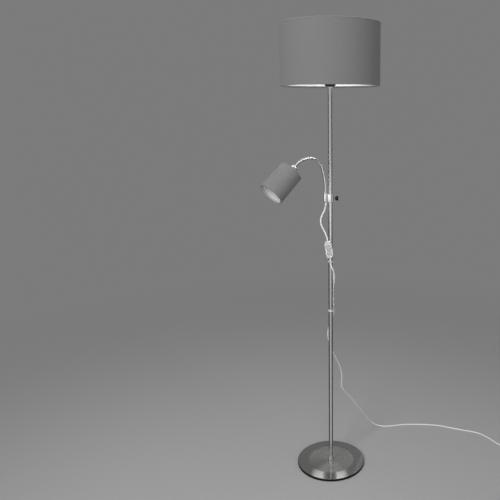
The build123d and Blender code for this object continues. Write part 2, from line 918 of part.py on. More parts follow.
shade_radius = shade_diameter / 2
shade_inside = shade_radius - shade_skin
lining_outside = shade_inside - loose
lining_inside = lining_outside - lining_skin
main_ring_radius = lining_inside - loose - shade_wire / 2
lower_ring_height = shade_bottom + lining_margin + shade_wire / 2
upper_ring_height = lamp_height - lining_margin - shade_wire / 2

with BuildPart() as main_shade:
    with BuildSketch(Plane.XY.offset(shade_bottom)):
        Circle(shade_radius)
        Circle(shade_inside, mode=Mode.SUBTRACT)
    extrude(amount=shade_height)
keep(main_shade, "main_shade")

with BuildPart() as main_lining:
    with BuildSketch(Plane.XY.offset(shade_bottom + lining_margin)):
        Circle(lining_outside)
        Circle(lining_inside, mode=Mode.SUBTRACT)
    extrude(amount=shade_height - 2 * lining_margin)
keep(main_lining, "main_lining")

with BuildPart() as main_top_ring:
    with BuildSketch(upright):
        with Locations((main_ring_radius, upper_ring_height)):
            Circle(shade_wire / 2)
    revolve(axis=Axis.Z)
keep(main_top_ring, "main_top_ring")

# Lower ring, three spokes and the plate round the lampholder, welded together.
# Its turned faces start between two spokes, so that no spoke meets a seam.
spoke_height = flange_top + spoke_wire / 2
between_spokes = around(180 / spoke_count, 1)
with BuildPart() as main_carrier:
    with BuildSketch(Plane(origin=(0, 0, flange_top), x_dir=between_spokes, z_dir=(0, 0, 1))):
        Circle(carrier_plate_diameter / 2)
        Circle(shell_radius + fit, mode=Mode.SUBTRACT)
    extrude(amount=carrier_plate)
    with BuildSketch(axis_plane((0, 0, 0), (0, 0, 1), between_spokes)):
        with Locations((main_ring_radius, lower_ring_height)):
            Circle(shade_wire / 2)
    revolve(axis=Axis.Z)
    for spoke in range(spoke_count):
        way = 360 * spoke / spoke_count
        spoke_start = around(way, carrier_plate_diameter / 2 - spoke_overlap, spoke_height)
        spoke_knee = around(way, main_ring_radius - spoke_bend, spoke_height)
        spoke_end = around(way, main_ring_radius, lower_ring_height)
        with BuildLine() as spoke_path:
            FilletPolyline(spoke_start, spoke_knee, spoke_end, radius=spoke_fillet)
        with BuildSketch(Plane(origin=spoke_start, z_dir=around(way, 1))):
            Circle(spoke_wire / 2)
        sweep(path=spoke_path.wires()[0])
keep(main_carrier, "main_carrier")

# ------------------------------------------------------------------ hand switch

switch_up = from_front(-sin(radians(switch_lean)), 0, cos(radians(switch_lean)))
switch_right = from_front(cos(radians(switch_lean)), 0, sin(radians(switch_lean)))
switch_out = from_front(0, -1)
switch_head = from_front(*switch_top)
switch_foot = switch_head - switch_up * switch_length
switch_centre = switch_head - switch_up * (switch_length / 2)
switch_plane = Plane(origin=switch_centre, x_dir=switch_right, z_dir=switch_out)
half_depth = switch_depth / 2
window_length = rocker_length + 2 * rocker_end_gap
window_width = rocker_width + 2 * rocker_side_gap
pin_level = half_depth - rocker_pin_depth
rocker_places = {"rocker_main": rocker_spacing / 2, "rocker_reading": -rocker_spacing / 2}
lug_inner = rocker_width / 2 + loose * 2


def switch_outline(inset=0.0):
    """Outline of the switch's body, wide in the middle and narrower at the cord's ends."""
    long = switch_length / 2 - inset
    wide = switch_width / 2 - inset
    narrow = switch_end_width / 2 - inset
    shoulder = long - switch_shoulder
    corners = [(narrow, long), (wide, shoulder), (wide, -shoulder), (narrow, -long)]
    mirrored = [(-x, y) for x, y in reversed(corners)]
    outline = Polygon(*corners, *mirrored, align=None)
    fillet(outline.vertices(), radius=switch_corner - inset)


def switch_half(side):
    """Hollow half of the switch's body, in front of (1) or behind (-1) its middle plane."""
    with BuildPart() as piece:
        with BuildSketch(switch_plane):
            switch_outline()
        extrude(amount=side * half_depth)
        face = piece.faces().sort_by(Axis(switch_centre, switch_out * side))[-1]
        fillet(face.edges(), radius=switch_edge)
        with BuildSketch(switch_plane):
            switch_outline(switch_wall)
        extrude(amount=side * (half_depth - switch_wall), mode=Mode.SUBTRACT)
        for rise in (switch_screw_rise, -switch_screw_rise):
            with BuildSketch(switch_plane):
                with Locations((0, rise)):
                    Circle(switch_boss / 2)
            extrude(amount=side * (half_depth - switch_wall))
            with BuildSketch(switch_plane):
                with Locations((0, rise)):
                    Circle(switch_screw / 2 + fit)
            extrude(amount=side * (half_depth - switch_wall), mode=Mode.SUBTRACT)
    return piece


with BuildPart() as switch_front:
    add(switch_half(1).part)
    for rise in rocker_places.values():
        with BuildSketch(switch_plane.offset(half_depth)):
            with Locations((0, rise)):
                Rectangle(window_width, window_length)
        extrude(amount=-switch_wall, mode=Mode.SUBTRACT)
        for side in (1, -1):
            with BuildSketch(switch_plane.offset(half_depth - switch_wall)):
                with Locations((side * (lug_inner + rocker_lug / 2), rise)):
                    Rectangle(rocker_lug, rocker_length / 2)
            extrude(amount=-(rocker_pin_depth - switch_wall + rocker_pin))
        pin_centre = switch_plane.from_local_coords(Vector(0, rise, pin_level))
        with BuildSketch(Plane(origin=pin_centre, x_dir=switch_up, z_dir=switch_right)):
            Circle(rocker_pin / 2 + fit)
        extrude(amount=lug_inner + rocker_lug, both=True, mode=Mode.SUBTRACT)
keep(switch_front, "switch_front")

with BuildPart() as switch_back:
    add(switch_half(-1).part)
    for rise in (switch_screw_rise, -switch_screw_rise):
        with BuildSketch(switch_plane.offset(-half_depth)):
            with Locations((0, rise)):
                Circle(switch_screw_head / 2 + fit)
        extrude(amount=switch_wall, mode=Mode.SUBTRACT)
keep(switch_back, "switch_back")

with BuildPart() as switch_screws:
    for rise in (switch_screw_rise, -switch_screw_rise):
        with BuildSketch(switch_plane.offset(-half_depth + loose)):
            with Locations((0, rise)):
                Circle(switch_screw_head / 2)
        extrude(amount=switch_wall - loose)
        with BuildSketch(switch_plane.offset(-half_depth + switch_wall)):
            with Locations((0, rise)):
                Circle(switch_screw / 2)
        extrude(amount=switch_depth - 2 * switch_wall - switch_screw_gap)
keep(switch_screws, "switch_screws")


def rocker(rise):
    """Rocker with its pin, resting with its upper end pressed in."""
    axis_point = switch_plane.from_local_coords(Vector(0, rise, pin_level))
    tilted_up = switch_up.rotate(Axis((0, 0, 0), switch_right), -rocker_tilt)
    end = rocker_length / 2
    foot = rocker_foot_width / 2
    top = rocker_pin_depth + rocker_stand
    with BuildPart() as piece:
        with BuildSketch(Plane(origin=axis_point, x_dir=tilted_up, z_dir=switch_right)):
            with BuildLine():
                ThreePointArc((-end, top), (0, top - rocker_dip), (end, top))
                Polyline(
                    (end, top),
                    (end, rocker_heel),
                    (foot, -rocker_foot_depth),
                    (-foot, -rocker_foot_depth),
                    (-end, rocker_heel),
                    (-end, top),
                )
            make_face()
        extrude(amount=rocker_width / 2, both=True)
        with BuildSketch(Plane(origin=axis_point, x_dir=tilted_up, z_dir=switch_right)):
            Circle(rocker_pin / 2)
        extrude(amount=lug_inner + rocker_lug - fit, both=True)
    return piece


for rocker_name, rise in rocker_places.items():
    keep(rocker(rise), rocker_name)

# ------------------------------------------------------------------ cord clips

clip_bore = cord_radius + loose
with BuildPart() as cord_clips:
    for height, turn in zip(clip_heights, clip_turns):
        ear_way = front_turn + turn
        ear_foot = Vector(0, 0, height - clip_height / 2)
        ear_plane = Plane(origin=ear_foot, x_dir=around(ear_way, 1), z_dir=(0, 0, 1))
        with BuildSketch(ear_plane):
            Circle(pole_radius + fit + clip_wall)
            with Locations((clip_offset, 0)):
                Circle(clip_bore + clip_wall)
            with Locations((clip_offset / 2 + pole_radius / 2, 0)):
                Rectangle(clip_offset - pole_radius, clip_web)
            Circle(pole_radius + fit, mode=Mode.SUBTRACT)
            with Locations((clip_offset, 0)):
                Circle(clip_bore, mode=Mode.SUBTRACT)
        extrude(amount=clip_height)
keep(cord_clips, "cord_clips")

# ------------------------------------------------------------------ mains lead

# Places are seen from the lamp's front: x right, y away, z up.
arm_route = [
    cord_exit + gland_way * gland_run,
    from_front(-28.7, -5, 953.5),
    from_front(-34.2, -7.5, 938.5),
    from_front(-34.2, -10, 923.5),
    from_front(-28.7, -12, 908.5),
    from_front(-20.7, -14, 894.6),
    from_front(-15.0, -15.4, 881),
    switch_head + switch_up * cord_end_run,
]
mains_route = [
    (-0.2, -15.2, 777),
    (4.2, -14.2, 764),
    (11.8, -8.4, 750),
    (14.5, -0.5, 733),
    (13.8, 4.5, 713),
    (11.2, 8.6, 693),
    (8.6, 11.4, 669),
    (8.9, 11.8, 641),
    (10.27, 11.2, 613),
    (10.27, 11.2, 587),
    (5, 13.9, 565),
    (-4, 14.5, 541),
    (-9.5, 11.5, 515),
    (-9, 12, 490),
    (-4.5, 14.5, 467),
    (3, 21, 442),
    (15, 36, 406),
    (30.5, 54.5, 362),
    (37, 63, 324),
    (38, 64.8, 296),
    (40, 67, 276),
    (46, 73.5, 257),
    (58, 89, 234),
    (81.5, 118.5, 195.5),
    (109, 153, 142),
    (135, 186, 93),
    (158, 215, 50),
    (172, 232, 27),
    (187, 241, 11.5),
    (206, 243, 4),
    (229, 241, 2.8),
    (262, 245, 2.8),
    (300, 255, 2.8),
    (350, 257, 2.8),
    (405, 254, 2.8),
    (455, 247, 2.8),
    (505, 226, 2.8),
    (555, 208, 2.8),
    (603, 192, 2.8),
    (630, 165, 2.8),
    (655, 125, 2.8),
    (677, 90, 2.8),
]
cord_floor = mains_route[-1][2]


def coil_state(turn):
    """Place and direction on the put-away coil: it winds in, climbs a layer and winds out."""
    half_way = coil_turns / 2
    climb = min(max((turn - half_way) / coil_climb + 0.5, 0.0), 1.0)
    wound = half_way - abs(turn - half_way)
    radius = coil_outer - coil_pitch * wound
    height = cord_floor + coil_pitch * (3 - 2 * climb) * climb**2
    angle = coil_start_turn + 360 * turn
    flat = (cos(radians(angle)), sin(radians(angle)))
    return coil_centre[0] + radius * flat[0], coil_centre[1] + radius * flat[1], height


def coil_way(turn, step=1e-4):
    """Unit direction of the coil at a turn."""
    before = from_front(*coil_state(turn - step))
    after = from_front(*coil_state(turn + step))
    return (after - before).normalized()


def arc_middle(start, corner, end):
    """Middle of the arc that leaves start towards corner and arrives at end from it."""
    chord_middle = (start + end) * 0.5
    half_chord = (end - start).length / 2
    height = (corner - chord_middle).length
    rise = half_chord * tan(atan2(height, half_chord) / 2)
    return chord_middle + (corner - chord_middle).normalized() * rise


def join_by_two_arcs(start, start_way, end, end_way):
    """Two arcs that join two places and are tangent to their directions and to each other."""
    span = end - start
    ways = start_way + end_way
    a = 2 * (1 - start_way.dot(end_way))
    b = 2 * span.dot(ways)
    c = -span.dot(span)
    reach = (-b + sqrt(b * b - 4 * a * c)) / (2 * a)
    corner_a = start + start_way * reach
    corner_b = end - end_way * reach
    middle = (corner_a + corner_b) * 0.5
    ThreePointArc(start, arc_middle(start, corner_a, middle), middle)
    ThreePointArc(middle, arc_middle(middle, corner_b, end), end)


def cord_radii(points):
    """Largest radius that the two runs beside each corner of a route allow."""
    radii = []
    for a, b, c in zip(points, points[1:], points[2:]):
        turn = radians((b - a).get_angle(c - b))
        radii.append(0.45 * min((b - a).length, (c - b).length) / tan(turn / 2))
    return radii


def cord_tube(name, points):
    """Round cord along straight runs joined by tangent arcs."""
    radii = cord_radii(points)
    with BuildPart() as piece:
        with BuildLine() as path:
            FilletPolyline(*points, radius=radii)
        with BuildSketch(Plane(origin=points[0], z_dir=points[1] - points[0])):
            Circle(cord_radius)
        sweep(path=path.wires()[0])
    keep(piece, name)
    length = path.wires()[0].length
    share = piece.part.volume / (pi * cord_radius**2 * length)
    print(f"{name}: length {length:.0f}, least radius {min(radii):.1f}")
    print(f"{name}: volume over section x length {share:.4f}")
    return length


arm_points = [cord_exit] + arm_route + [switch_head]
ear_place = from_front(0, 0) + around(front_turn + clip_turns[0], clip_offset)
ear_above = Vector(ear_place.X, ear_place.Y, clip_heights[0] + clip_height / 2 + clip_run)
coil_start = from_front(*coil_state(0))
mains_points = [switch_foot, switch_foot - switch_up * cord_start_run, ear_above]
mains_points += [from_front(*place) for place in mains_route]
mains_points += [coil_start]
arm_length = cord_tube("arm_cord", arm_points)
mains_length = cord_tube("mains_cord", mains_points)

coil_in = (coil_start - mains_points[-2]).normalized()
coil_marks = [k / 4 for k in range(int(coil_turns * 4) + 1)]
coil_points = [from_front(*coil_state(mark)) for mark in coil_marks]
coil_ways = [coil_in] + [coil_way(mark) for mark in coil_marks[1:]]
coil_ways[-1] = Vector(coil_ways[-1].X, coil_ways[-1].Y, 0).normalized()
plug_root = coil_points[-1] + coil_ways[-1] * cord_diameter
with BuildPart() as cord_coil:
    with BuildLine() as coil_path:
        for k in range(len(coil_marks) - 1):
            join_by_two_arcs(coil_points[k], coil_ways[k], coil_points[k + 1], coil_ways[k + 1])
        Line(coil_points[-1], plug_root)
    with BuildSketch(Plane(origin=coil_start, z_dir=coil_in)):
        Circle(cord_radius)
    sweep(path=coil_path.wires()[0])
keep(cord_coil, "cord_coil")

coil_wire = coil_path.wires()[0]
coil_length = coil_wire.length
samples = int(coil_length)
spots = [coil_wire @ (k / samples) for k in range(samples + 1)]
apart = int(2.5 * cord_diameter)
least = min((a - b).length for k, a in enumerate(spots) for b in spots[k + apart :])
coil_share = cord_coil.part.volume / (pi * cord_radius**2 * coil_length)
print(f"cord_coil: length {coil_length:.0f}, gap to itself {least - cord_diameter:.2f}")
print(f"cord_coil: volume over section x length {coil_share:.4f}")
print(f"whole lead: {arm_length + mains_length + coil_length:.0f}")

# ------------------------------------------------------------------ plug

plug_way = coil_ways[-1]
plug_side = Vector(0, 0, 1).cross(plug_way)
plug_half = plug_root.Z - loose

# place along the plug, width and height of each section
plug_sections = [
    (0, plug_nose, plug_nose),
    (plug_boot_length, plug_nose * 1.2, plug_nose * 1.1),
    (plug_neck_length, plug_nose * 1.6, plug_nose * 1.5),
    (plug_shoulder_length, plug_width, plug_half * 2),
    (plug_length, plug_width, plug_half * 2),
]
with BuildPart() as plug_body:
    for distance, width, height in plug_sections:
        spot = plug_root + plug_way * distance
        with BuildSketch(Plane(origin=spot, x_dir=plug_side, z_dir=plug_way)):
            RectangleRounded(width, height, min(width, height) * 0.45)
    loft(ruled=True)
keep(plug_body, "plug_body")

with BuildPart() as plug_pins:
    pin_plane = Plane(origin=plug_root + plug_way * plug_length, x_dir=plug_side, z_dir=plug_way)
    with BuildSketch(pin_plane):
        with GridLocations(pin_spacing, 1, 2, 1):
            Circle(pin_diameter / 2)
    extrude(amount=pin_length)
    tips = plug_pins.faces().sort_by(Axis(plug_root, plug_way))[-2:]
    fillet(tips.edges(), radius=pin_diameter / 4)
keep(plug_pins, "plug_pins")

# ------------------------------------------------------------------ joint data, for the record

headings = [0.0] + link_headings + [tail_heading]
for number, (before, after) in enumerate(zip(headings, headings[1:]), start=1):
    spot = pivots[number - 1]
    print(f"neck joint {number:02d}: at {spot.X:.3f} {spot.Y:.3f} {spot.Z:.3f} turn {degrees(after - before):.3f}")
print(f"head top {tuple(head_top)} way {tuple(head_way)}")
for rocker_name, rise in rocker_places.items():
    print(rocker_name, tuple(switch_plane.from_local_coords(Vector(0, rise, pin_level))), tuple(switch_right))
print(f"cord exit {tuple(cord_exit)} knob height {knob_height} socket {tuple(socket_axis)}")
print(f"plug root {tuple(plug_root)} way {tuple(plug_way)}")
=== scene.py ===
"""Looks of a standing lamp with a small reading lamp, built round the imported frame.

Lengths are metres in the frame's own axes: +Z up the pole, the origin under the centre of the base,
and the reading lamp on the -X side. Every new surface is a grid of points worked out with numpy, and
its UV map is in metres, so that weaves and brushing keep their real size.
"""

from __future__ import annotations

import json
import logging
import math
from dataclasses import dataclass, field
from enum import Enum

import bmesh
import bpy
import numpy as np
from mathutils import Matrix, Vector

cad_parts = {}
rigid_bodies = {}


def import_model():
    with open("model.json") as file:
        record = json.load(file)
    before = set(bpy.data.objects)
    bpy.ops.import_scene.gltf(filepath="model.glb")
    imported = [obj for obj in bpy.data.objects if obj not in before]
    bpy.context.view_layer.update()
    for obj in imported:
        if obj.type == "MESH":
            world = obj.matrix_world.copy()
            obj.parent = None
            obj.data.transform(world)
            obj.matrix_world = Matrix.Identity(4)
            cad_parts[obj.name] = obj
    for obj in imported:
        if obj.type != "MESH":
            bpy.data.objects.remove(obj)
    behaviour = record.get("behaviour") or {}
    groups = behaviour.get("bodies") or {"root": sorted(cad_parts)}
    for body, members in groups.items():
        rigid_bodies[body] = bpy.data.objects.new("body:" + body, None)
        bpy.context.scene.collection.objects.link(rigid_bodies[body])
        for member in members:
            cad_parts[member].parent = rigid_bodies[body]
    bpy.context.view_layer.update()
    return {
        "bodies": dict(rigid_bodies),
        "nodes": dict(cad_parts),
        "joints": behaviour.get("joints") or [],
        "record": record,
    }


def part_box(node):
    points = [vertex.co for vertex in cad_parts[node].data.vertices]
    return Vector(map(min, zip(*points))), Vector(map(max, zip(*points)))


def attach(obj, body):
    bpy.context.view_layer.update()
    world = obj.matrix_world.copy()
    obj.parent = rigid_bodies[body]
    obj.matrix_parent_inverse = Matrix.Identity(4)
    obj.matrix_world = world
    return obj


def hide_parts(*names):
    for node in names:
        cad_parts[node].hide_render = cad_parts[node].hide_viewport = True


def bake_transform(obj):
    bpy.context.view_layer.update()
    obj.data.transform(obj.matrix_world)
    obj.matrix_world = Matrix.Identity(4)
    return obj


LOG = logging.getLogger("standing_lamp")
MM = 0.001
UP = np.array((0.0, 0.0, 1.0))


# ---------------------------------------------------------------- places and shapes


def unit(vector: np.ndarray) -> np.ndarray:
    """Scale a vector, or each row of an array, to length one."""
    vector = np.asarray(vector, float)
    return vector / np.linalg.norm(vector, axis=-1, keepdims=True)


@dataclass(frozen=True)
class Place:
    """A local frame: where it stands, the way its axis points and the way its zero angle points."""

    origin: np.ndarray
    axis: np.ndarray
    zero: np.ndarray

    @property
    def side(self) -> np.ndarray:
        """Direction at a quarter turn from the zero angle."""
        return np.cross(self.axis, self.zero)

    def at(self, radius: np.ndarray, angle: np.ndarray, along: np.ndarray) -> np.ndarray:
        """Points from cylindrical places: origin + radius (cos, sin) of the angle + along the axis.

        Args:
            radius: Distances from the axis.
            angle: Angles about the axis, in radians from the zero direction.
            along: Distances along the axis.

        Returns:
            Points, with the broadcast shape of the three arrays and a last axis of 3.
        """
        radius, angle, along = np.broadcast_arrays(radius, angle, along)
        spread = (radius * np.cos(angle))[..., None] * self.zero
        spread = spread + (radius * np.sin(angle))[..., None] * self.side
        return self.origin + spread + along[..., None] * self.axis


WORLD = Place(np.zeros(3), UP, np.array((1.0, 0.0, 0.0)))


@dataclass
class Skin:
    """A grid of points, with the distances that its rows and columns stand for in the UV map."""

    points: np.ndarray
    wrap_rows: bool = False
    wrap_columns: bool = True
    run: np.ndarray | None = None
    girth: np.ndarray | None = None

    def corners(self) -> tuple[np.ndarray, np.ndarray]:
        """Vertex numbers and UV places of every quad's four corners.

        Returns:
            Vertex numbers, shape (faces, 4), and UV places, shape (faces, 4, 2).
        """
        rows, columns = self.points.shape[:2]
        row = np.arange(rows if self.wrap_rows else rows - 1)
        column = np.arange(columns if self.wrap_columns else columns - 1)
        grid_row, grid_column = np.meshgrid(row, column, indexing="ij")
        rise = np.stack([grid_row, grid_row, grid_row + 1, grid_row + 1], -1).reshape(-1, 4)
        turn = np.stack([grid_column, grid_column + 1, grid_column + 1, grid_column], -1).reshape(-1, 4)
        number = (rise % rows) * columns + turn % columns
        run = self.run if self.run is not None else np.arange(rows + 1) * MM
        girth = self.girth if self.girth is not None else np.arange(columns + 1) * MM
        return number, np.stack([girth[turn], run[rise]], -1)


def round_angles(sides: int) -> np.ndarray:
    """Angles of points spread evenly round a circle."""
    return np.arange(sides) * 2 * np.pi / sides


def circles(side: np.ndarray, third: np.ndarray, sides: int) -> np.ndarray:
    """Unit circles in the plane of each pair of directions, shape (n, sides, 3)."""
    angle = round_angles(sides)[None, :, None]
    return side[:, None] * np.cos(angle) + third[:, None] * np.sin(angle)


def steps_of(points: np.ndarray, closed: bool = False) -> np.ndarray:
    """Distance along a line of points, with one more value back to the start if it is closed."""
    ring = np.vstack([points, points[:1]]) if closed else points
    steps = np.linalg.norm(np.diff(ring, axis=0), axis=1)
    return np.concatenate([[0.0], np.cumsum(steps)])


def rounded(
    corners: list[tuple[float, float, float]], closed: bool = False, fine: int = 6
) -> np.ndarray:
    """Outline with rounded corners.

    A corner with a radius is cut back by radius x tan(half turn) along both sides, and the gap is
    filled with an arc of that radius.

    Args:
        corners: Corner places with the radius of each.
        closed: Whether the outline comes back to its start.
        fine: Steps in each arc.

    Returns:
        Points of the outline, shape (n, 2).
    """
    spots = np.array([corner[:2] for corner in corners], float)
    pieces = []
    count = len(corners)
    for k, (x, y, radius) in enumerate(corners):
        spot = np.array((x, y))
        if radius <= 0 or (not closed and k in (0, count - 1)):
            pieces.append(spot[None])
            continue
        back = unit(spots[k - 1] - spot)
        ahead = unit(spots[(k + 1) % count] - spot)
        half = math.acos(float(np.clip(back @ ahead, -1, 1))) / 2
        centre = spot + unit(back + ahead) * radius / math.sin(half)
        first = spot + back * radius / math.tan(half)
        last = spot + ahead * radius / math.tan(half)
        share = np.linspace(0, 1, fine + 1)[:, None]
        blend = (first - centre) * (1 - share) + (last - centre) * share
        pieces.append(centre + unit(blend) * radius)
    return np.vstack(pieces)


def turned(profile: np.ndarray, place: Place = WORLD, sides: int = 96, closed: bool = False) -> Skin:
    """Surface of revolution: each profile point (radius, along) goes once round the axis.

    Args:
        profile: Radius and distance along the axis, shape (n, 2).
        place: Frame that it turns in.
        sides: Points round each circle.
        closed: Whether the profile is a loop, as for a ring or a wall with thickness.

    Returns:
        The grid, with its UV map in metres.
    """
    points = place.at(profile[:, :1], round_angles(sides)[None], profile[:, 1:2])
    girth = np.linspace(0, 2 * np.pi, sides + 1) * profile[:, 0].max()
    run = steps_of(profile, closed)
    return Skin(points, wrap_rows=closed, run=np.append(run, run[-1]), girth=girth)


def ring(place: Place, radius: float, along: float, wire: float, sides: int = 128, thick: int = 14) -> Skin:
    """Wire ring: a circle of the wire's radius carried once round the axis."""
    angle = round_angles(thick)
    profile = np.stack([radius + wire * np.cos(angle), along + wire * np.sin(angle)], 1)
    return turned(profile, place, sides, closed=True)


def carried_frames(path: np.ndarray) -> tuple[np.ndarray, np.ndarray]:
    """Frames that turn as little as possible along a path.

    Each frame is the one before it, turned by the smallest rotation that takes its direction to the
    next one, found by projecting the old side direction square to the new direction.

    Args:
        path: Points, shape (n, 3).

    Returns:
        Side directions and third directions, each of shape (n, 3).
    """
    ahead = unit(np.gradient(path, axis=0))
    side = np.eye(3)[np.argmin(np.abs(ahead[0]))]
    sides = []
    for way in ahead:
        side = unit(side - (side @ way) * way)
        sides.append(side)
    sides = np.array(sides)
    return sides, np.cross(ahead, sides)


def swept(path: np.ndarray, radius: float, sides: int = 16) -> Skin:
    """Round tube along a path: a circle in each carried frame."""
    circle = circles(*carried_frames(path), sides)
    run = steps_of(path)
    girth = np.linspace(0, 2 * np.pi, sides + 1) * radius
    return Skin(path[:, None] + circle * radius, run=np.append(run, run[-1]), girth=girth)


def ended(skin: Skin) -> list[Skin]:
    """A tube's skin with its two ends closed by fans from the middle of each end ring."""
    ends = []
    for row in (skin.points[:1], skin.points[-1:]):
        middle = np.broadcast_to(row.mean(axis=1, keepdims=True), row.shape)
        ends.append(Skin(np.concatenate([row, middle]), girth=skin.girth))
    return [skin, *ends]


def wall(outer: np.ndarray, inner: np.ndarray) -> np.ndarray:
    """Closed profile of a wall from its outer line and its inner line, both drawn the same way."""
    return np.vstack([outer, inner[::-1]])


def piece(name: str, skins: list[Skin], finish: Finish, crease: float = 38.0) -> bpy.types.Object:
    """One mesh object from its skins, welded, with its normals pointing outwards.

    Args:
        name: Object name.
        skins: Grids that make it up.
        finish: What it is made of.
        crease: Edges that turn by more than this many degrees stay sharp.

    Returns:
        The object, linked to the scene, at the origin.
    """
    mesh = bpy.data.meshes.new(name)
    points, numbers, places, start = [], [], [], 0
    for skin in skins:
        number, place = skin.corners()
        points.append(skin.points.reshape(-1, 3))
        numbers.append(number + start)
        places.append(place)
        start += len(points[-1])
    vertices, faces, uv = np.vstack(points), np.vstack(numbers), np.vstack(places)
    mesh.vertices.add(len(vertices))
    mesh.vertices.foreach_set("co", vertices.astype(np.float32).ravel())
    mesh.loops.add(faces.size)
    mesh.loops.foreach_set("vertex_index", faces.astype(np.int32).ravel())
    mesh.polygons.add(len(faces))
    mesh.polygons.foreach_set("loop_start", np.arange(0, faces.size, 4, dtype=np.int32))
    mesh.update(calc_edges=True)
    mesh.uv_layers.new(name="Metres").data.foreach_set("uv", uv.astype(np.float32).ravel())
    work = bmesh.new()
    work.from_mesh(mesh)
    bmesh.ops.remove_doubles(work, verts=work.verts, dist=2e-7)
    bmesh.ops.dissolve_degenerate(work, edges=work.edges, dist=1e-8)
    bmesh.ops.recalc_face_normals(work, faces=work.faces)
    work.to_mesh(mesh)
    work.free()
    mesh.polygons.foreach_set("use_smooth", np.ones(len(mesh.polygons), bool))
    mesh.set_sharp_from_angle(angle=math.radians(crease))
    mesh.materials.append(finish.material())
    obj = bpy.data.objects.new(name, mesh)
    bpy.context.scene.collection.objects.link(obj)
    return obj


def lathe(
    name: str, loop: np.ndarray, finish: Finish, place: Place = WORLD, sides: int = 96, crease: float = 38.0
) -> bpy.types.Object:
    """One mesh object turned from a closed outline."""
    return piece(name, [turned(loop, place, sides, closed=True)], finish, crease)


def settle(obj: bpy.types.Object, body: str, slot: str, *nodes: str) -> bpy.types.Object:
    """Make a piece ride on its body and hide the nodes that it stands for.

    Args:
        obj: The piece.
        body: The CAD body that it moves with.
        slot: The record's material slot; not used.
        nodes: CAD nodes that it replaces.

    Returns:
        The same piece.
    """
    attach(obj, body)
    if nodes:
        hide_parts(*nodes)
    LOG.info("%s rides on %s and replaces %s", obj.name, body, ", ".join(nodes) or "nothing")
    return obj


# ---------------------------------------------------------------- finishes


